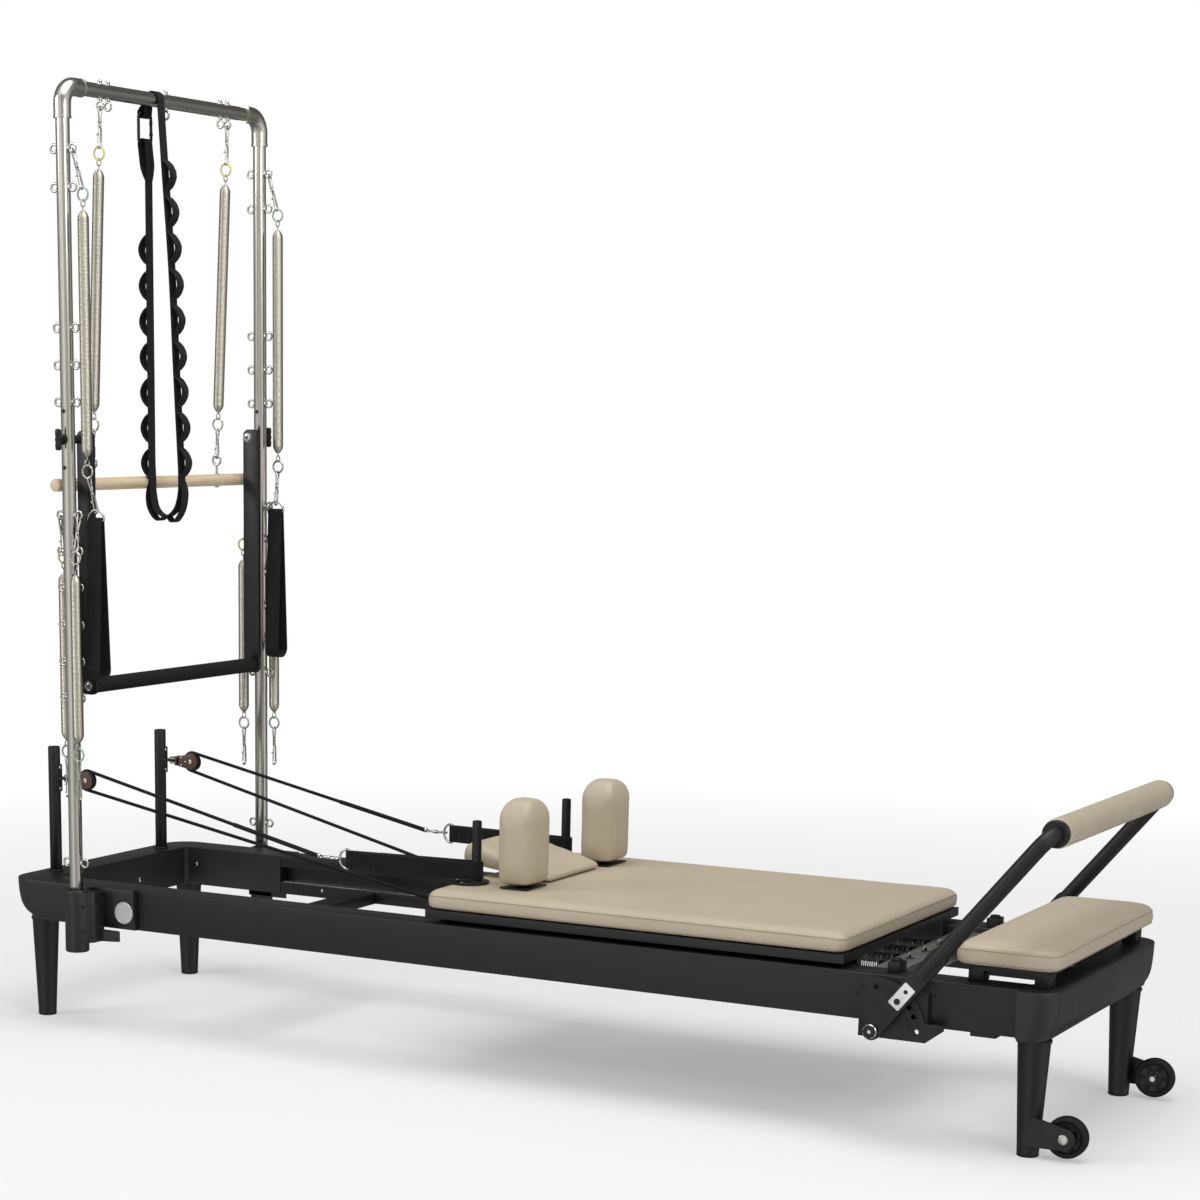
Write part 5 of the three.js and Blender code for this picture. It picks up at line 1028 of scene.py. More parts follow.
def make_springs():
    for name, side in SIDES:
        hang = at(TOWER_X, side * ROLL_Y, TOP_BAR - HANG_DROP)
        eye_z = TOP_BAR - ROLL_DROP + ROLL_EYE_RISE
        eye = at(TOWER_X - ROLL_BACK, side * ROLL_Y, eye_z)
        lean = eye - hang

        def place(z, lean=lean, hang=hang):
            return hang + lean * ((z * MM - hang.z) / lean.z)

        way = lean.normalized()
        wire = place(eye_z) - way * 11 * MM
        hung_spring(
            "spring_roll_down_wound_" + name, "roll_down", "spring_roll_down_" + name, hang,
            place(TOP_BAR - 127.5), place(TOP_BAR - 160.5), place(TOP_BAR - 672.5), place(TOP_BAR - 700.5),
            wire + way * (EYE_WIRE + HOOK_BOW + HOOK_PLAY) * MM, "ring_yellow", "chrome"
        )
        x, y, hang_z = TOWER_X + 50.6, side * TOWER_Y, EYE_HEIGHTS[0]
        bow_z = hang_z - ARM_SPRING - HANDLE_DROP + D_RING
        handle_bow = at(TOWER_X + HANDLE_FORWARD, side * (TOWER_Y - HANDLE_INWARD), bow_z)
        lower = at(x, y, hang_z - ARM_SPRING)
        way = (handle_bow - lower).normalized()
        hung_spring(
            "spring_arm_wound_" + name, "arm_spring_" + name, "spring_arm_" + name,
            at(TOWER_X + EYE_STAND_OFF, y, hang_z), at(x, y, hang_z - 95),
            at(x, y, hang_z - 128), at(x, y, hang_z - 640), lower,
            handle_bow + way * (D_WIRE + HOOK_BOW + 2) * MM, "ring_green", "chrome"
        )
        hang_z = EYE_HEIGHTS[5]
        for end, sign, dx, dy, upper_colour, lower_colour in LEG_SPRINGS:
            px, py = TOWER_X + sign * dx, side * (TOWER_Y + dy)
            hung_spring(
                f"spring_leg_{end}_wound_{name}", f"leg_spring_{end}_{name}",
                f"spring_leg_{end}_{name}", at(TOWER_X + sign * EYE_STAND_OFF, side * TOWER_Y, hang_z),
                at(px, py, hang_z - 91.5), at(px, py, hang_z - 127.5), at(px, py, hang_z - 494.5),
                at(px, py, hang_z - 521.5), at(px, py, hang_z - 625.5), upper_colour, lower_colour
            )


def make_roll_down_bar():
    form = Form()
    z, half = TOP_BAR - ROLL_DROP, TOWER_Y + 6.4
    x = TOWER_X - ROLL_BACK
    form.turned(
        [
            (0, 10.5), (0.9, 12.2), (2.6, 13.3), (5, 13.7), (2 * half - 5, 13.7),
            (2 * half - 2.6, 13.3), (2 * half - 0.9, 12.2), (2 * half, 10.5)
        ],
        at(x, -half, z), Y_WAY, 48
    )
    for side in (-1, 1):
        y = side * ROLL_Y
        form.ring(at(x, y, z + ROLL_EYE_RISE), 11, EYE_WIRE, Y_WAY, 1)
        form.turned(
            [(12.9, 5.6), (14.6, 5.6), (15.2, 3.0), (ROLL_EYE_RISE - 11, 2.6)], at(x, y, z), Z_WAY, 14, 1
        )
        form.turned([(12.8, 5.6), (15.6, 5.6), (17.0, 4.4), (17.2, 0)], at(x, y, z), -Z_WAY, 14, 1)
    placed("roll_down_bar_turned", form, "roll_down", ["wood", "chrome"], "roll_down_bar", 40)


make_springs()
make_roll_down_bar()


# Webbing
def belt_path(a, radius_a, b, radius_b, across, steps=14, run=16):
    """The middle line of a belt round two circles whose axes run along one direction"""
    way = (b - a).normalized()
    up = across.normalized().cross(way)
    spread = math.degrees(math.acos((radius_a - radius_b) * MM / (b - a).length))
    first = arc(b, way, up, radius_b, -spread, spread, steps)
    second = arc(a, way, up, radius_a, spread, 360 - spread, steps)
    path = list(first)
    path += [first[-1].lerp(second[0], i / run) for i in range(1, run)]
    path += second
    path += [second[-1].lerp(first[0], i / run) for i in range(1, run)]
    return path


def d_ring(form, centre, bar_way, bow_way, slot=1):
    form.tube(arc(centre, bar_way, bow_way, D_RING, 0, 180, 20), D_WIRE, 12, True, slot)


def stitches(form, start, end, normal, slot, step=3.4, length=2.2):
    """A row of sewn stitches on a flat band"""
    way = (end - start).normalized()
    count = int((end - start).length / MM / step)
    side = way.cross(normal.normalized())
    for i in range(count):
        a = start + way * (i * step) * MM
        b = a + way * length * MM
        ring = [side * 0.35 * MM, normal * 0.3 * MM, -side * 0.35 * MM, -normal * 0.1 * MM]
        points = [a + r for r in ring] + [b + r for r in ring]
        form.shell(
            points,
            [[3, 2, 1, 0], [4, 5, 6, 7], [0, 1, 5, 4], [1, 2, 6, 5], [2, 3, 7, 6], [3, 0, 4, 7]], slot
        )


def make_tower_handles():
    for name, side in SIDES:
        y, x = side * (TOWER_Y - HANDLE_INWARD), TOWER_X + HANDLE_FORWARD
        bar_z = EYE_HEIGHTS[0] - ARM_SPRING - HANDLE_DROP
        bottom_z = bar_z - 346
        top, low = at(x, y, bar_z), at(x, y, bottom_z + 2 + 20)
        form = Form()
        path = belt_path(low, 20, top, D_WIRE + 2 - 0.2, X_WAY)
        form.band(path, X_WAY, 38, 4, True, 0)
        d_ring(form, top, X_WAY, Z_WAY)
        pad_path = arc(low, Y_WAY, Z_WAY, 20.2, 152, 388, 18)
        form.band(pad_path, X_WAY, 37, 5.4, False, 2)
        for out in (-1, 1):
            a = at(x, y, bar_z - 30) + Y_WAY * out * 8.6 * MM
            for across in (-15, 15):
                start = a + X_WAY * across * MM
                stitches(
                    form, start + Y_WAY * out * 0.2 * MM,
                    start - Z_WAY * 54 * MM + Y_WAY * out * 2.6 * MM, Y_WAY * out, 3
                )
        placed("tower_handle_webbing_" + name, form, "arm_spring_" + name,
               ["webbing", "chrome", "neoprene", "thread"], "tower_handle_" + name, 50)


STRAP_Y, STRAP_BOTTOM = -42, TOP_BAR - 905.5
STRAP_WIDTH, STRAP_THICK, LOOP_WIDTH, LOOP_THICK = 26, 3, 25.4, 2.6
CLIP_BACK, CLIP_DROP, CLIP_HALF_WIDTH, CLIP_HALF_HEIGHT, CLIP_TURN = 9, 26.5, 18.5, 32.5, 78
END_LOOP_DROP, LOOP_PITCH, LOOP_LENGTH, LOOP_BULGE = 76.5, 78, 62, 20
REAR_LOOPS, REAR_LOOP_DROP, FRONT_LOOPS, FRONT_LOOP_DROP = 7, 318.5, 9, 160
TURN_IN = ((13, -26), (15, -48), (10.5, -76), (7.5, -76), (-3, -52), (-7, -26))
LOW_LOOPS = (
    ((62.5, 86), (73, 58), (69, 24), (56, -1), (41, -11), (27, 1.5)),
    ((-18.5, 78), (-27, 52), (-25, 24), (-13, 2), (3, -8), (19, 1.5)),
)
REACH_SHARES = (0.31, 0.44, 0.58, 0.7, 0.83, 0.95, 1, 0.97, 0.8, 0.45, 0.11, -0.14, -0.26)
HEIGHT_SHARES = (0.942, 0.814, 0.688, 0.555, 0.346, 0.18, 0.103, 0.058, 0.022, 0.002, 0.006, 0.025, 0.064)


def smooth_line(points, per_span=6):
    """A smooth line through points (Catmull-Rom)"""
    out = []
    for i in range(len(points) - 1):
        p0, p1, p2, p3 = points[max(i - 1, 0)], points[i], points[i + 1], points[min(i + 2, len(points) - 1)]
        for k in range(per_span):
            t = k / per_span
            out.append(
                0.5
                * (
                    (2 * p1) + (p2 - p0) * t + (2 * p0 - 5 * p1 + 4 * p2 - p3)
                    * t * t + (3 * p1 - p0 - 3 * p2 + p3) * t ** 3
                )
            )
    out.append(points[-1])
    return out


def make_loop_strap():
    rear_x = TOWER_X - TUBE - 0.3 - 1.5 - 1.5
    over = arc(at(TOWER_X, STRAP_Y, TOP_BAR), X_WAY, Z_WAY, TUBE + 0.3 + 1.7, 180, 0, 18)
    front = [
        at(TOWER_X + 64 * r, STRAP_Y, STRAP_BOTTOM + (TOP_BAR - STRAP_BOTTOM) * h)
        for r, h in zip(REACH_SHARES, HEIGHT_SHARES)
    ]
    clip_x, clip_radius = rear_x - CLIP_BACK, 3.5 + 5.2 + 1.5
    wire_bottom = TOP_BAR - CLIP_DROP - 2 * CLIP_HALF_HEIGHT
    rear_top = at(rear_x, STRAP_Y, wire_bottom - END_LOOP_DROP)
    line = [at(rear_x, STRAP_Y, TOP_BAR - 6)] + over + smooth_line([over[-1] - Z_WAY * 0.012] + front, 5)
    rear_low = line[-1]
    rise = [rear_low.lerp(rear_top, i / 40) for i in range(1, 41)]
    for i, p in enumerate(rise):
        p.x = (rear_x - BED_MIDDLE_X) * MM + (rear_low.x - (rear_x - BED_MIDDLE_X) * MM) * max(0, 1 - i / 3)
    line += rise
    form = Form()
    form.band(line, Y_WAY, STRAP_WIDTH, STRAP_THICK, False, 0)
    strap_top, clip_top = at(rear_x, STRAP_Y, TOP_BAR - 6), at(clip_x, STRAP_Y, TOP_BAR - CLIP_DROP)
    clip_loop = belt_path(strap_top, 3, clip_top, clip_radius, Y_WAY, 14, 6)
    form.band(clip_loop, Y_WAY, STRAP_WIDTH, STRAP_THICK, True, 0)
    end_loop = arc(at(clip_x, STRAP_Y, wire_bottom), X_WAY, Z_WAY, clip_radius, 180, 0, 14)
    turn_in = [at(clip_x + x, STRAP_Y, wire_bottom + z) for x, z in TURN_IN]
    turn_in = smooth_line([end_loop[-1], *turn_in, end_loop[0]], 5)
    form.band(end_loop + turn_in[1:-1], Y_WAY, STRAP_WIDTH, STRAP_THICK, True, 0)
    for low_loop in LOW_LOOPS:
        points = [at(TOWER_X + x, STRAP_Y, STRAP_BOTTOM + z) for x, z in low_loop]
        form.band(smooth_line(points, 5), Y_WAY, LOOP_WIDTH, 2.8, False, 0)
    strand = smooth_line(front[:7], 10)

    def front_x(z):
        best = min(strand, key=lambda p: abs(p.z / MM - z))
        return best.x / MM + BED_MIDDLE_X

    def finger_loop(x_at, z, length, bulge, way):
        steps = 14
        path = []
        for i in range(steps + 1):
            share = i / steps
            height = z + length / 2 - length * share
            swell = math.sin(math.pi * share) ** 0.75
            path.append(at(x_at(height) + way * (bulge * swell + 1.4), STRAP_Y, height))
        form.band(path, Y_WAY, LOOP_WIDTH, LOOP_THICK, False, 0)
        for end in (0.5, -0.5):
            centre = at(x_at(z + length * end) + way * 2.9, STRAP_Y, z + length * end)
            half_row = Y_WAY * 10.5 * MM
            for row in (-1.6, 1.6):
                middle = centre + Z_WAY * row * MM
                stitches(form, middle - half_row, middle + half_row, X_WAY * way, 1)

    for i in range(REAR_LOOPS):
        finger_loop(lambda z: rear_x, TOP_BAR - REAR_LOOP_DROP - i * LOOP_PITCH, LOOP_LENGTH, LOOP_BULGE, -1)
    for i in range(FRONT_LOOPS):
        finger_loop(front_x, TOP_BAR - FRONT_LOOP_DROP - i * LOOP_PITCH, LOOP_LENGTH, LOOP_BULGE, 1)
    placed("loop_strap_webbing", form, "frame", ["webbing", "thread"], "loop_strap", 50)

    turn = math.radians(CLIP_TURN)
    across = Vector((math.cos(turn), math.sin(turn), 0))
    centre = at(clip_x, STRAP_Y, TOP_BAR - CLIP_DROP - CLIP_HALF_HEIGHT)
    form = Form()
    path = rounded_loop(centre, across, Z_WAY, CLIP_HALF_WIDTH, CLIP_HALF_HEIGHT, 10, 6)
    form.tube(path, 3.4, 14, True, 0)
    gate = centre + across * CLIP_HALF_WIDTH * MM
    form.turned([(-14, 3.9), (-13.4, 4.4), (-9, 4.4), (-8.4, 3.9)], gate, Z_WAY, 16, 0)
    form.turned([(10, 3.9), (10.6, 4.3), (13.4, 4.3), (14, 3.9)], gate, Z_WAY, 16, 0)
    placed(
        "strap_carabiner_steel", form, "frame", ["satin_black"],
        "loop_strap_carabiner", 50
    )


def make_handle_straps():
    for name, side in SIDES:
        peg = at(PEG[0], side * PEG[1], CUFF_END[2])
        end = at(CUFF_END[0], side * CUFF_END[1], CUFF_END[2])
        form = Form()
        path = belt_path(peg, 10.3 + 2 + 0.4, end, D_WIRE + 2 - 0.2, Z_WAY, 16, 30)
        form.band(path, Z_WAY, 38, 4, True, 0)
        heading = cuff_heading(side)
        d_ring(form, end, Z_WAY, heading)
        flat = heading.cross(Z_WAY).normalized()
        for out in (-1, 1):
            pad = [
                end - heading * d * MM + flat * out
                * (4.6 + 8.3 * (d / 307)) * MM for d in range(74, 240, 8)
            ]
            form.band(pad, Z_WAY, 38.4, 5.2, False, 2)
            for rise in (-15.5, 15.5):
                a = end - heading * 20 * MM + flat * out * 6.9 * MM + Z_WAY * rise * MM
                b = end - heading * 66 * MM + flat * out * 8.2 * MM + Z_WAY * rise * MM
                stitches(form, a, b, flat * out, 3)
            for along in (22, 44, 66):
                a = end - heading * along * MM + flat * out * (6.9 + 1.3 * (along - 20) / 46) * MM
                stitches(form, a - Z_WAY * 15 * MM, a + Z_WAY * 15 * MM, flat * out, 3)
        placed("handle_strap_webbing_" + name, form, "carriage",
               ["webbing", "chrome", "neoprene", "thread"], "handle_strap_" + name, 50)


make_tower_handles()
make_loop_strap()
make_handle_straps()


# Risers and pulleys
RISER_X, RISER_FOOT, LUG_X, LUG_Z = -1199, 324.2, -1163, 540


def make_risers():
    for name, side in SIDES:
        x, y = RISER_X, side * PULLEY_Y
        form = Form()
        form.turned(
            [(0, 13.4), (0.8, 14), (288.6, 14), (290.8, 13.3), (291.6, 12), (291.8, 0)],
            at(x, y, RISER_FOOT), Z_WAY, 40
        )
        lug = arc(at(LUG_X, y, LUG_Z), X_WAY, Y_WAY, 8, -90, 90, 14)
        lug += arc(at(x, y, LUG_Z), X_WAY, Y_WAY, 8, 90, 270, 14)
        form.plate(lug, Z_WAY * 6 * MM)
        form.turned([(0, 17.5), (3.4, 17.5), (4.2, 16.6)], at(x, y, RISER_FOOT), Z_WAY, 40)
        placed(
            "riser_post_" + name, form, "frame", ["powder_coat"],
            "riser_" + name, 40, 0.5
        )
        form = Form()
        form.block(at(x + 12.6, y - 8.5, 512), at(x + 16.4, y + 8.5, 574))
        for z in (519, 567):
            screw_head(form, at(x + 16.4, y, z), X_WAY, 4.4, 1, 2)
        placed(
            "riser_bracket_" + name, form, "frame",
            ["satin_black", "chrome", "hole"], (), 40, 0.8
        )


def make_pulleys():
    for name, side in SIDES:
        y = side * PULLEY_Y
        body = "pulley_" + name
        form = Form()
        inner, outer = 6.5, 9.5
        for way in (-1, 1):
            base = at(0, y + way * inner, 0).y / MM
            a, b = at(-1132, base, PULLEY_Z), at(PULLEY_X, base, PULLEY_Z)
            outline = arc(b, X_WAY, Z_WAY, 19, -90, 90, 18) + arc(a, X_WAY, Z_WAY, 13.5, 90, 270, 14)
            form.plate(outline, Y_WAY * way * 3 * MM, 0)
        form.block(at(-1150, y - outer, PULLEY_Z - 11.5), at(-1137, y + outer, PULLEY_Z + 11.5), 0)
        placed("pulley_cheeks_" + name, form, body, ["resin"], "pulley_block_" + name, 40, 1.0)
        form = Form()
        for way in (-1, 1):
            z = PULLEY_Z + (3.3 if way > 0 else -7.3)
            tip = arc(at(LUG_X, y, z), X_WAY, Y_WAY, 6.8, 90, 270, 12) + [
                at(-1138, y - 6.8, z), at(-1138, y + 6.8, z)
            ]
            form.plate(tip, Z_WAY * 4 * MM, 0)
        form.turned(
            [(-9, 3.6), (-8.4, 5), (-7.4, 5), (-7.3, 2.9), (7.3, 2.9), (7.4, 5), (8.4, 5), (9, 3.6)],
            at(LUG_X, y, PULLEY_Z), Z_WAY, 20, 0
        )
        form.turned(
            [
                (-outer - 1.8, 3.8), (-outer - 1.2, 5.2), (-outer, 5.4), (-outer + 0.2, 3.6),
                (outer - 0.2, 3.6), (outer, 5.4), (outer + 1.2, 5.2), (outer + 1.8, 3.8)
            ],
            at(PULLEY_X, y, PULLEY_Z), Y_WAY, 22, 0
        )
        for way in (-1, 1):
            for x, z in ((-1130, 9), (-1130, -9), (-1117, 0)):
                screw_head(form, at(x, y + way * outer, PULLEY_Z + z), Y_WAY * way, 2.6, 0)
        placed("pulley_fork_" + name, form, body, ["chrome"], (), 40)
        form = Form()
        half = 5.5
        form.turned(
            [
                (-half, 4.6), (-half, 21.2), (-half + 0.5, 22), (-4.4, 22), (-3.2, 18.4), (-1.6, 17.5),
                (1.6, 17.5), (3.2, 18.4), (4.4, 22), (half - 0.5, 22), (half, 21.2), (half, 4.6)
            ],
            at(PULLEY_X, y, PULLEY_Z), Y_WAY, 44
        )
        form.turned(
            [(-half - 0.25, 7.2), (-half + 0.1, 7.4), (half - 0.1, 7.4), (half + 0.25, 7.2)],
            at(PULLEY_X, y, PULLEY_Z), Y_WAY, 26, 1
        )
        placed(
            "sheave_turned_" + name, form, "sheave_" + name,
            ["satin_black", "chrome"], "sheave_" + name, 40
        )


make_risers()
make_pulleys()


# Carriage, platform and footbar metalwork
ROLLER_Z, CARRIAGE_UNDERSIDE, SPRING_Z, SPRING_HOOK_X, CARRIER_X = 280, 334, 291, 846, 370.3


def make_carriage():
    fittings = Form()
    for side in (-1, 1):
        for x in (-75, 737):
            fittings.turned(
                [(0, 17.2), (0.8, 17.6), (25, 17.6), (26, 16.8)],
                at(x, side * 257, ROLLER_Z), Y_WAY * side, 32, 0
            )
            fittings.turned([(-10, 5), (-9, 6), (0.2, 6)], at(x, side * 240, ROLLER_Z), Y_WAY * side, 16, 1)
        for x in (-30, 180, 390, 600, 740):
            screw_head(fittings, at(x, side * 290, CARRIAGE_UNDERSIDE), -Z_WAY, 5, 1, 2)
    for y in (-ROPE_ANCHOR[1], ROPE_ANCHOR[1]):
        fittings.turned([(0, 9), (5, 9), (6, 7.5)], at(-129.5, y, ROPE_ANCHOR[2]), X_WAY, 22, 1)
        fittings.turned([(0, 7.5), (1.6, 7.5), (2.4, 6)], at(-141.1, y, ROPE_ANCHOR[2]), -X_WAY, 22, 1)
    softened(
        "carriage_frame", "carriage", "powder_coat",
        1.6, (fittings, ["rubber", "chrome", "hole"])
    )

    form = Form()
    form.block(at(CARRIER_X, -192, SPRING_Z - 8), at(CARRIER_X + 34, 192, SPRING_Z + 8), 1)
    for y in spring_places():
        coil = helix(at(CARRIER_X + 30, y, SPRING_Z), at(790, y, SPRING_Z), 11, 1.4, 88, 9)
        form.tube(coil, 1.35, 5, False, 0)
        form.turned(
            [(0, 10.6), (2, 11.2), (9, 11.2), (11, 8), (16, 4), (20, 3.2)],
            at(784, y, SPRING_Z), X_WAY, 20, 2
        )
        hook = ((-46, 0), (-8, 0), (-2.5, 1.5), (0, 6), (0, 27), (0.6, 29))
        form.tube([at(SPRING_HOOK_X + x, y, SPRING_Z + z) for x, z in hook], 2.8, 10, False, 2)
    # The wound bed springs take the darkened steel, painted shade from the carriage above
    springs = placed(
        "bed_springs_wound", form, None, ["bed_spring", "powder_coat", "satin_black"],
        "carriage_springs", 50
    )
    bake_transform(springs)

    for name, side in SIDES:
        x, y, base = PEG[0], side * PEG[1], 395.6
        form = Form()
        form.turned([(0, 41), (0.8, 42), (4.2, 42), (5, 41), (5.05, 0)], at(x - 16, y, base), Z_WAY, 56, 0)
        form.turned(
            [(0.5, 13.6), (6, 13), (8.5, 10.4), (130.4, 10), (133.6, 9.4), (134.4, 8), (134.5, 0)],
            at(x, y, base), Z_WAY, 36, 0
        )
        for angle in (95, 180, 265):
            place = at(
                x - 16 + 30 * math.cos(math.radians(angle)),
                y + 30 * math.sin(math.radians(angle)), base + 5
            )
            form.turned([(-0.4, 4.2), (0.9, 4.0), (1.3, 3), (1.3, 0)], place, Z_WAY, 18, 1)
        placed(
            "strap_peg_turned_" + name, form, "carriage",
            ["satin_black", "chrome"], "strap_peg_" + name, 45
        )


def make_platform_board():
    fittings = Form()
    for side in (-1, 1):
        for x in (1053, 1180):
            screw_head(fittings, at(x, side * 274, 345.7), -Z_WAY, 5, 0, 1)
    softened(
        "foot_platform_board", "frame", "powder_coat",
        1.4, (fittings, ["chrome", "hole"])
    )


FOOTBAR_X, FOOTBAR_Z, FOOTBAR_Y, FOOTBAR_ANGLE, FOOTBAR_REACH = 882, 223, 371.5, math.radians(51.2), 512
FOOTBAR_BEND, FOOTBAR_ARM_HALF, FOOTBAR_ARM_END, QUADRANT_FACE = 34, 8, 200, 355.3


def on_arm(distance, y, out=0.0):
    """A point along a footbar arm, out square to it"""
    c, s = math.cos(FOOTBAR_ANGLE), math.sin(FOOTBAR_ANGLE)
    return at(FOOTBAR_X + distance * c - out * s, y, FOOTBAR_Z + distance * s + out * c)


def make_footbar():
    up = Vector((math.cos(FOOTBAR_ANGLE), 0, math.sin(FOOTBAR_ANGLE)))
    square = Vector((-math.sin(FOOTBAR_ANGLE), 0, math.cos(FOOTBAR_ANGLE)))
    form = Form()
    bends = []
    for side in (-1, 1):
        centre = on_arm(FOOTBAR_REACH, side * FOOTBAR_Y) - (up + Y_WAY * side) * FOOTBAR_BEND * MM
        bends.append(arc(centre, Y_WAY * side, up, FOOTBAR_BEND, 0, 90, 12))
    path = [on_arm(150, -FOOTBAR_Y), *bends[0], *bends[1][::-1], on_arm(150, FOOTBAR_Y)]
    form.tube(path, 15.5, 32)
    placed("footbar_tube", form, "footbar", ["powder_coat"], "footbar_frame", 50)
    form = Form()
    for side in (-1, 1):
        y = side * FOOTBAR_Y
        low = on_arm(0, y - FOOTBAR_ARM_HALF)
        high = on_arm(FOOTBAR_ARM_END, y - FOOTBAR_ARM_HALF)
        outline = arc(low, up, square, 18, 90, 270, 16) + arc(high, up, square, 18, -90, 90, 16)
        form.plate(outline, Y_WAY * 2 * FOOTBAR_ARM_HALF * MM)
    placed("footbar_arms", form, "footbar", ["powder_coat"], (), 40, 2.2)
    form = Form()
    end = FOOTBAR_Y - FOOTBAR_BEND
    for side in (-1, 1):
        form.turned(
            [(0, 16.2), (0.2, 24.6), (1.4, 26), (8.4, 26), (9.6, 24.8), (9.8, 16.2)],
            on_arm(FOOTBAR_REACH, side * (end - 10)), Y_WAY * side, 44
        )
    placed("footbar_collars", form, "footbar", ["satin_black"], (), 40)

    lock = Form()
    y = -(FOOTBAR_Y + FOOTBAR_ARM_HALF + 0.3)
    outline = rounded_loop(on_arm(95.5, y), up, square, 26.5, 13, 3, 4)
    lock.plate(outline, -Y_WAY * 3 * MM, 0)
    placed("lock_plate", lock, "footbar_lock", ["plate_white"], "footbar_lock", 40, 0.5)
    pin = Form()
    pin.turned([(0, 4.8), (20, 4.8)], on_arm(82, y + 0.5), Y_WAY, 20, 0)
    pin.turned([(2.6, 6.5), (3.4, 6.2), (3.5, 0)], on_arm(82, y), -Y_WAY, 24, 1)
    pin.turned([(2.8, 4.4), (3.5, 4.1), (3.5, 0)], on_arm(108, y), -Y_WAY, 20, 1)
    placed("lock_pin", pin, "footbar_lock", ["chrome", "satin_black"], (), 40)

    for name, side in SIDES:
        fittings = Form()
        way = Y_WAY * side
        face = side * QUADRANT_FACE
        outer = side * (FOOTBAR_Y + FOOTBAR_ARM_HALF)
        fittings.turned(
            [(0.4, 13.5), (1.2, 14.2), (4.6, 14.2), (5.8, 13.0), (6.0, 10.5), (5.4, 10.2), (5.4, 0)],
            at(FOOTBAR_X, outer, FOOTBAR_Z), way, 40, 0
        )
        fittings.turned([(5.0, 4.4), (7.2, 4.0), (7.4, 0)], at(FOOTBAR_X, outer, FOOTBAR_Z), way, 6, 0)
        for x, z in ((898, 250), (952, 236), (934, 286), (1000, 262), (1000, 300)):
            screw_head(fittings, at(x, face, z), way, 4.6, 1, 2)
        softened(
            "footbar_quadrant_" + name, "frame", "powder_coat",
            1.0, (fittings, ["chrome", "satin_black", "hole"])
        )
        stop = Form()
        stop.block(at(880, side * 262, FRAME_TOP), at(905, side * 300, FRAME_TOP + 21), 0)
        stop.turned([(0, 11), (3, 11), (5, 9), (5.1, 0)], at(892.5, side * 281, FRAME_TOP + 21), Z_WAY, 28, 1)
        placed(
            "rail_stop_" + name, stop, "frame", ["powder_coat", "rubber"], (), 40, 1.6
        )


def make_wheels():
    for name, side in SIDES:
        x, y, z = 1245, side * 286, 45.5
        half = 12
        form = Form()
        form.turned(
            [
                (-half + 5, 27), (-half + 1, 30.5), (-half, 32.5), (-half, 35.5), (-half + 1.4, 38.2),
                (-half + 4.6, 40.2), (-half + 8, 40.5), (half - 8, 40.5), (half - 4.6, 40.2),
                (half - 1.4, 38.2), (half, 35.5), (half, 32.5), (half - 1, 30.5), (half - 5, 27)
            ],
            at(x, y, z), Y_WAY, 60, 0
        )
        form.turned(
            [(-half + 4, 6.0), (-half + 4, 30.2), (half - 4, 30.2), (half - 4, 6.0)],
            at(x, y, z), Y_WAY, 60, 1
        )
        form.turned(
            [
                (-half + 0.2, 5.6), (-half + 0.2, 14.6), (-half + 1.6, 16),
                (half - 1.6, 16), (half - 0.2, 14.6), (half - 0.2, 5.6)
            ],
            at(x, y, z), Y_WAY, 40, 1
        )
        # Flat discs in the hole finish: holes through the wheel shown by painted shade
        for i in range(6):
            angle = math.radians(60 * i)
            place = at(x + 23 * math.cos(angle), y, z + 23 * math.sin(angle))
            for way in (-1, 1):
                form.turned(
                    [(half - 4.3, 4.6), (half - 3.8, 4.6), (half - 3.8, 0)], place, Y_WAY * way, 18, 2
                )
                form.ring(place + Y_WAY * way * (half - 3.9) * MM, 5.2, 0.7, Y_WAY, 1, 18, 6)
        placed(
            "wheel_turned_" + name, form, "wheel_" + name,
            ["rubber", "satin_black", "hole"], "wheel_" + name, 40
        )
        fittings = Form()
        way = -Y_WAY * side
        fittings.turned([(0.2, 9.4), (1.4, 10.2), (3.4, 10.2), (4.0, 9.4)], at(x, side * 273.2, z), way, 6, 0)
        fittings.turned([(4.0, 6.0), (6.2, 5.4), (6.6, 0)], at(x, side * 273.2, z), way, 20, 0)
        fittings.turned([(0, 9.5), (2.6, 9.5), (3.4, 8.4), (3.5, 0)], at(x, side * 310, z), -way, 28, 0)
        softened(
            "wheel_bracket_" + name, "frame", "powder_coat",
            1.4, (fittings, ["chrome"])
        )


make_carriage()
make_platform_board()
make_footbar()
make_wheels()


# Upholstery
def rounded_ring(half_x, half_y, radius, steps=8):
    out = []
    for cx, cy, start in ((half_x - radius, half_y - radius, 0), (radius - half_x, half_y - radius, 90),
                          (radius - half_x, radius - half_y, 180), (half_x - radius, radius - half_y, 270)):
        out += corner_points(cx, cy, radius, start, start + 90, steps)
    return out


def stacked(levels, place):
    """A closed form through levels of equal rings, with one face across its top and one across its bottom"""
    points = []
    for ring, z in levels:
        points += [place(x, y, z) for x, y in ring]
    return points, ring_faces(len(levels), len(levels[0][0]))


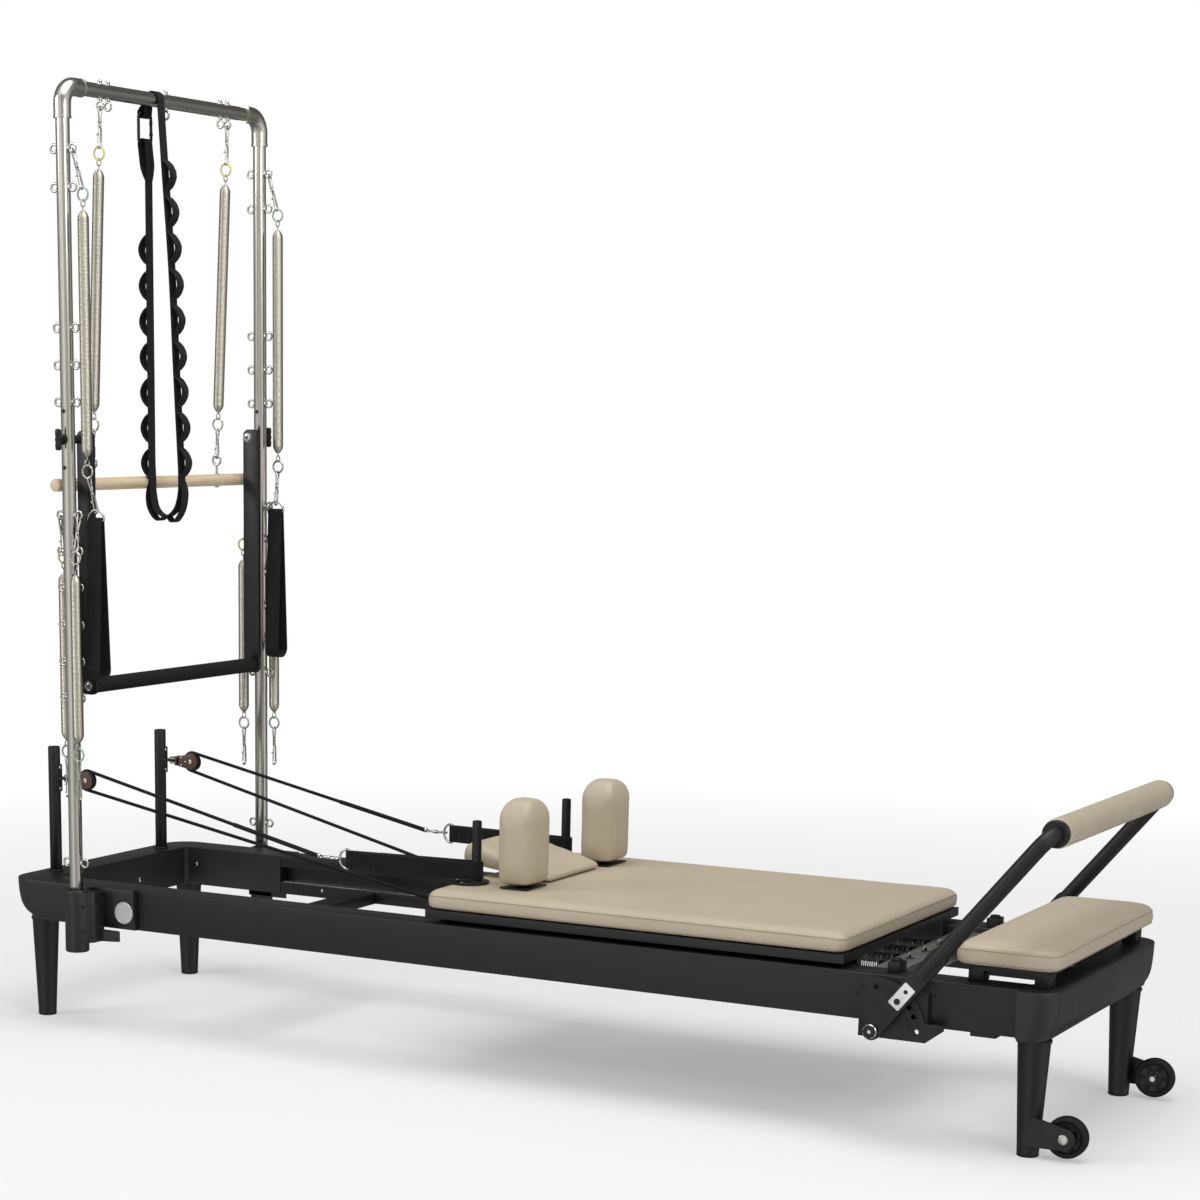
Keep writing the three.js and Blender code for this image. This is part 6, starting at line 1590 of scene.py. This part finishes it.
def pad_levels(half_x, half_y, thickness, corner, crown, shrink=0.0):
    """Rings of an upholstered pad: tight lower edge, drawn-in sides, rounded top edge and low crown"""
    profile = [
        (0.11, 0.0), (0.06, 0.02), (0.035, 0.08), (0.02, 0.18), (0.0, 0.34), (0.0, 0.5),
        (0.015, 0.64), (0.05, 0.77), (0.12, 0.88), (0.23, 0.955), (0.38, 0.99)
    ]
    levels = []
    for inset, rise in profile:
        d = thickness * inset + shrink
        radius = max(corner - d, corner * 0.4)
        levels.append(
            (
                rounded_ring(half_x - d, half_y - d, radius),
                thickness * rise + shrink * (0.4 if rise < 0.5 else -0.4)
            )
        )
    reach = min(60, min(half_x, half_y) * 0.6)
    for share in (0.4, 0.7, 1.0):
        d = thickness * 0.38 + (reach - thickness * 0.38) * share
        levels.append(
            (
                rounded_ring(half_x - d, half_y - d, max(corner - d, corner * 0.35)),
                thickness + crown * math.sin(math.pi / 2 * share)
            )
        )
    return levels


def puffed(piece, voxel, cap, floor_z=None, ceiling_z=None, pressure=4.0):
    """Fill the cover as foam does: remesh, cloth under pressure, each point's travel capped"""
    remesh = piece.modifiers.new("cover", "REMESH")
    remesh.mode = "VOXEL"
    remesh.voxel_size = voxel * MM
    applied(piece)
    rest = [(v.co.copy(), v.normal.copy()) for v in piece.data.vertices]
    cloth = piece.modifiers.new("cover", "CLOTH")
    cloth.settings.use_pressure = True
    cloth.settings.uniform_pressure_force = pressure
    cloth.settings.effector_weights.gravity = 0
    cloth.settings.tension_stiffness = 30
    cloth.settings.compression_stiffness = 30
    cloth.point_cache.frame_start = 1
    cloth.point_cache.frame_end = 20
    for step in range(1, 21):
        scene.frame_set(step)
    applied(piece)
    scene.frame_set(1)
    for vertex, (start, normal) in zip(piece.data.vertices, rest):
        move = vertex.co - start
        inward = -move.dot(normal) - 0.6 * MM
        if inward > 0:
            move += normal * inward
        if move.length > cap * MM:
            move = move.normalized() * cap * MM
        place = start + move
        if floor_z is not None and place.z < floor_z:
            place.z = floor_z
        if ceiling_z is not None and place.z > ceiling_z:
            place.z = ceiling_z
        vertex.co = place
    relax = piece.modifiers.new("cover", "SMOOTH")
    relax.factor = 0.5
    relax.iterations = 5
    applied(piece)


def cover(name, body, node, points, faces, voxel, cap, floor_z, tilt=None, ceiling_z=None):
    """An upholstered piece, its cover simulated"""
    form = Form().shell(points, faces)
    data = form.mesh(name)
    piece = bpy.data.objects.new(name, data)
    scene.collection.objects.link(piece)
    puffed(piece, voxel, cap, floor_z, ceiling_z)
    if tilt is not None:
        piece.data.transform(tilt)
    finer = piece.modifiers.new("cover", "SUBSURF")
    finer.levels = 1
    finer.render_levels = 1
    applied(piece)
    data = piece.data
    data.materials.clear()
    data.materials.append(FINISH["vinyl"])
    for polygon in data.polygons:
        polygon.use_smooth = True
        polygon.material_index = 0
    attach(piece, body)
    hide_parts(node)
    return piece


def drawn_to(piece, points):
    """Points moved onto the nearest place of a piece's skin, with more points on long runs"""
    dense = []
    for a, b in zip(points, points[1:] + points[:1]):
        steps = max(1, int((b - a).length / (25 * MM)))
        dense += [a.lerp(b, i / steps) for i in range(steps)]
    nearest = [piece.closest_point_on_mesh(point) for point in dense]
    return [place + normal * 0.2 * MM for _, place, normal, _ in nearest]


def slack(amount):
    """How much smaller a cover starts, in millimetres, where it is then filled out"""
    return amount


def make_pads():
    def flat_pad(name, body, node, x0, x1, half_y, z, thickness, corner, crown, voxel, cap, ceiling=None):
        middle, half = (x0 + x1) / 2, (x1 - x0) / 2
        shrink = slack(1.6)
        levels = pad_levels(half, half_y, thickness, corner, crown, shrink)
        points, faces = stacked(levels, lambda x, y, h: at(middle + x, y, z + h))
        piece = cover(name, body, node, points, faces, voxel, cap, z * MM, None, ceiling)
        welt = Form()
        for rise in (0.76, 0.1):
            ring = [
                at(middle + x, y, z + thickness * rise) for x, y in rounded_ring(half, half_y, corner, 10)
            ]
            welt.tube(drawn_to(piece, ring), 1.1, 8, True, 0)
        placed(name + "_welt", welt, body, ["vinyl_seam"], (), 60)
        return piece

    flat_pad(
        "carriage_pad_cover", "carriage", "carriage_pad", -141,
        803, 324, 352.4, 41, 22, 1.6, 8.0, 3.0, 395.0 * MM
    )
    flat_pad("foot_platform_cover", "frame", "foot_platform_pad", 1012, 1219, 318, 358.1, 42, 30, 2, 5.5, 3.5)

    half = (54 + 169) / 2
    shrink = slack(1.4)
    levels = pad_levels(half, 122, 50, 16, 2, shrink)
    foot_share = 14 / 50

    def tapered(x, y, h):
        share = (half - x) / (2 * half)
        return Vector(((x - half) * MM, y * MM, h * MM * (foot_share + (1 - foot_share) * share)))

    points, faces = stacked(levels, tapered)
    lift = Matrix.Translation(at(54, 0, 395.9)) @ Matrix.Rotation(math.radians(6.5), 4, "Y")
    cover("headrest_cover", "headrest", "headrest_pad", points, faces, 5.0, 3.0, 0.0, lift)

    for name, side in SIDES:
        half_x, half_y, low, high = 40.0, 53.5, 404.0, 586.0
        s = slack(1.6)
        levels = []
        profile = [
            (9.0, 9.0, low + s), (5.0, 5.0, low + 1.2 + s), (2.4, 2.4, low + 5),
            (0.8, 0.8, low + 14), (0, 0, low + 34), (0, 0, 470), (0, 0, 510), (0, 0, high - 46)
        ]
        for angle in (12, 24, 36, 48, 60, 70, 80, 90):
            a = math.radians(angle)
            profile.append(
                (21 * (1 - math.cos(a)), 42 * (1 - math.cos(a)), high - 46 + (46 - s) * math.sin(a))
            )
        for inset_x, inset_y, z in profile:
            hx, hy = half_x - inset_x - s, half_y - inset_y - s
            levels.append((rounded_ring(hx, hy, min(14, hx * 0.9, hy * 0.92)), z))
        hx, hy = half_x - 21 - s, half_y - 42 - s
        levels.append((rounded_ring(hx * 0.45, hy * 0.4, min(hx, hy) * 0.35), high + 0.4 - s))
        middle_y = side * 188.5
        points, faces = stacked(levels, lambda x, y, h, m=middle_y: at(26 + x, m + y, h))
        cover(
            "shoulder_rest_cover_" + name, "shoulder_rest_" + name,
            "shoulder_rest_" + name, points, faces, 4.5, 3.5, 404 * MM
        )
        # A plate under each shoulder rest, finished black as a painted shadow line where the rest sits on the
        # pad
        plate = Form()
        plate.block(at(-6, middle_y - 45.5, 396.0), at(58, middle_y + 45.5, 399.0), 0)
        plate.turned([(3, 8), (8.6, 8)], at(26, middle_y, 396), Z_WAY, 24, 0)
        placed(
            "shoulder_rest_shadow_plate_" + name, plate, "shoulder_rest_" + name,
            ["satin_black"], (), 40, 0.8
        )

    form = Form()
    end = FOOTBAR_Y - FOOTBAR_BEND - 10 - 0.3
    path_profile = [(0, 17.5), (0.4, 25.4), (2.2, 27.6), (5, 28.3), (9, 28.5)]
    full = 2 * end
    profile = path_profile + [(full * k / 40, 28.5 - 0.18 * math.sin(k * 2.1)) for k in range(1, 40)] + [
        (full - a, r) for a, r in reversed(path_profile)
    ]
    form.turned(profile, on_arm(FOOTBAR_REACH, -end), Y_WAY, 64)
    roller = placed("footbar_roller_cover", form, "footbar", ["vinyl"], "footbar_pad", 45)
    seam = Form()
    square = Vector((-math.sin(FOOTBAR_ANGLE), 0, math.cos(FOOTBAR_ANGLE)))
    under = -square
    seam.tube(
        [
            on_arm(FOOTBAR_REACH, -end + 6) + under * 28.3 * MM,
            on_arm(FOOTBAR_REACH, end - 6) + under * 28.3 * MM
        ],
        0.7, 8
    )
    placed("footbar_roller_seam", seam, "footbar", ["vinyl_seam"], (), 60)


make_pads()


# Plain studio: floor, soft lamps and a pale world
def ramp_of(tree, value, stops):
    ramp = tree.nodes.new("ShaderNodeValToRGB")
    first, last = ramp.color_ramp.elements
    (first.position, low), (last.position, high) = stops[0], stops[-1]
    first.color, last.color = (low, low, low, 1), (high, high, high, 1)
    for position, level in stops[1:-1]:
        ramp.color_ramp.elements.new(position).color = (level, level, level, 1)
    link(tree, value, ramp.inputs[0])
    return ramp.outputs["Color"]


def studio_surround():
    """What polished metal mirrors in one direction: dark flags between pale screens"""
    group, source, result = new_group(
        "Studio surround", [("Direction", "NodeSocketVector", None)], [("Colour", "NodeSocketColor")]
    )
    split = node_of(group, "ShaderNodeSeparateXYZ", {0: source.outputs["Direction"]})
    around = maths(group, "ARCTAN2", split.outputs["Y"], split.outputs["X"])
    around = maths(group, "MULTIPLY_ADD", around, 0.5 / math.pi, 0.5)
    screens = ramp_of(
        group, around,
        (
            (0, .2), (.092, .38), (.16, .65), (.205, 1.0), (.26, .95), (.315, .5), (.385, .46),
            (.455, .72), (.53, 1.0), (.585, .5), (.66, .15), (.8, .1), (.915, .16), (1, .2)
        )
    )
    height = maths(group, "MULTIPLY_ADD", split.outputs["Z"], 0.5, 0.5)
    levels = ramp_of(
        group, height, ((0, .45), (.35, .85), (.5, 1.0), (.62, .8), (.75, .62), (.87, 1.1), (1, .95))
    )
    mixed = mixed_colour(group, 1.0, screens, levels, "MULTIPLY")
    link(group, mixed, result.inputs["Colour"])
    return group


MIRROR_STRENGTH = 1.35


def make_studio():
    surround = studio_surround()

    def mirrored(tree, direction):
        node = node_of(tree, "ShaderNodeGroup", {}, node_tree=surround)
        link(tree, direction, node.inputs["Direction"])
        return node.outputs["Colour"]

    floor = bpy.data.meshes.new("studio_floor")
    reach = 40
    floor.from_pydata(
        [(-reach, -reach, 0), (reach, -reach, 0), (reach, reach, 0), (-reach, reach, 0)], [], [(0, 1, 2, 3)]
    )
    ground = bpy.data.objects.new("studio_floor", floor)
    scene.collection.objects.link(ground)
    ground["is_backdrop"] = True
    material = bpy.data.materials.new("studio_floor")
    material.use_nodes = True
    tree = material.node_tree
    shader = tree.nodes["Principled BSDF"]
    shader.inputs["Base Color"].default_value = (0.86, 0.86, 0.86, 1)
    shader.inputs["Roughness"].default_value = 0.55
    shader.inputs["Specular IOR Level"].default_value = 0.25
    glow = node_of(tree, "ShaderNodeEmission", {"Color": (1, 1, 1, 1)})
    rays = node_of(tree, "ShaderNodeLightPath", {})
    place = node_of(tree, "ShaderNodeTexCoord", {})
    far = node_of(tree, "ShaderNodeVectorMath", {0: place.outputs["Object"]}, operation="LENGTH")
    fade = ranged(tree, far.outputs["Value"], 0.35, 1.0, 1.2, 4.5)
    factor = maths(tree, "MULTIPLY", fade, rays.outputs["Is Camera Ray"])
    mix = node_of(tree, "ShaderNodeMixShader", {0: factor, 1: shader.outputs[0], 2: glow.outputs[0]})
    incoming = node_of(tree, "ShaderNodeNewGeometry", {}).outputs["Incoming"]
    away = node_of(tree, "ShaderNodeVectorMath", {0: incoming, "Scale": -1.0}, operation="SCALE")
    mirror = {"Color": mirrored(tree, away.outputs[0]), "Strength": MIRROR_STRENGTH}
    screen = node_of(tree, "ShaderNodeEmission", mirror)
    share = maths(tree, "MULTIPLY", rays.outputs["Is Glossy Ray"], 0.9)
    both = node_of(tree, "ShaderNodeMixShader", {0: share, 1: mix.outputs[0], 2: screen.outputs[0]})
    link(tree, both.outputs[0], tree.nodes["Material Output"].inputs["Surface"])
    floor.materials.append(material)

    world = bpy.data.worlds.new("studio_world")
    scene.world = world
    world.use_nodes = True
    tree = world.node_tree
    background = tree.nodes["Background"]
    background.inputs["Color"].default_value = (0.93, 0.95, 1.0, 1)
    background.inputs["Strength"].default_value = 0.36
    white = node_of(tree, "ShaderNodeBackground", {"Color": (1, 1, 1, 1), "Strength": 1.0})
    place = node_of(tree, "ShaderNodeTexCoord", {}).outputs["Generated"]
    around = node_of(
        tree, "ShaderNodeBackground", {"Color": mirrored(tree, place), "Strength": MIRROR_STRENGTH}
    )
    rays = node_of(tree, "ShaderNodeLightPath", {}).outputs
    parts = {0: rays["Is Glossy Ray"], 1: background.outputs[0], 2: around.outputs[0]}
    glossy = node_of(tree, "ShaderNodeMixShader", parts)
    clear = maths(tree, "MAXIMUM", rays["Is Camera Ray"], rays["Is Transmission Ray"])
    final = node_of(tree, "ShaderNodeMixShader", {0: clear, 1: glossy.outputs[0], 2: white.outputs[0]})
    link(tree, final.outputs[0], tree.nodes["World Output"].inputs["Surface"])

    def lamp(name, place, target, size, power, colour=(1, 1, 1)):
        light = bpy.data.lights.new(name, "AREA")
        light.shape = "DISK"
        light.size = size
        light.energy = power
        light.color = colour
        piece = bpy.data.objects.new(name, light)
        piece.location = place
        piece.rotation_euler = (Vector(target) - Vector(place)).to_track_quat("-Z", "Y").to_euler()
        scene.collection.objects.link(piece)

    lamp("soft_box_above", (0.6, -0.6, 5.2), (0, 0, 0.3), 4.5, 190)
    lamp("soft_box_left", (-4.6, -4.0, 3.4), (-0.3, 0, 0.6), 2.6, 110)
    lamp("soft_box_right", (5.2, -2.6, 2.6), (0.2, 0, 0.5), 2.4, 60)
    scene.view_settings.view_transform = "Standard"


make_studio()

bpy.context.view_layer.update()
visual_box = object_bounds()


def plain(value):
    return [plain(v) for v in value] if hasattr(value, "__len__") else float(value)


{"cad": plain(cad_box), "visual": plain(visual_box)}
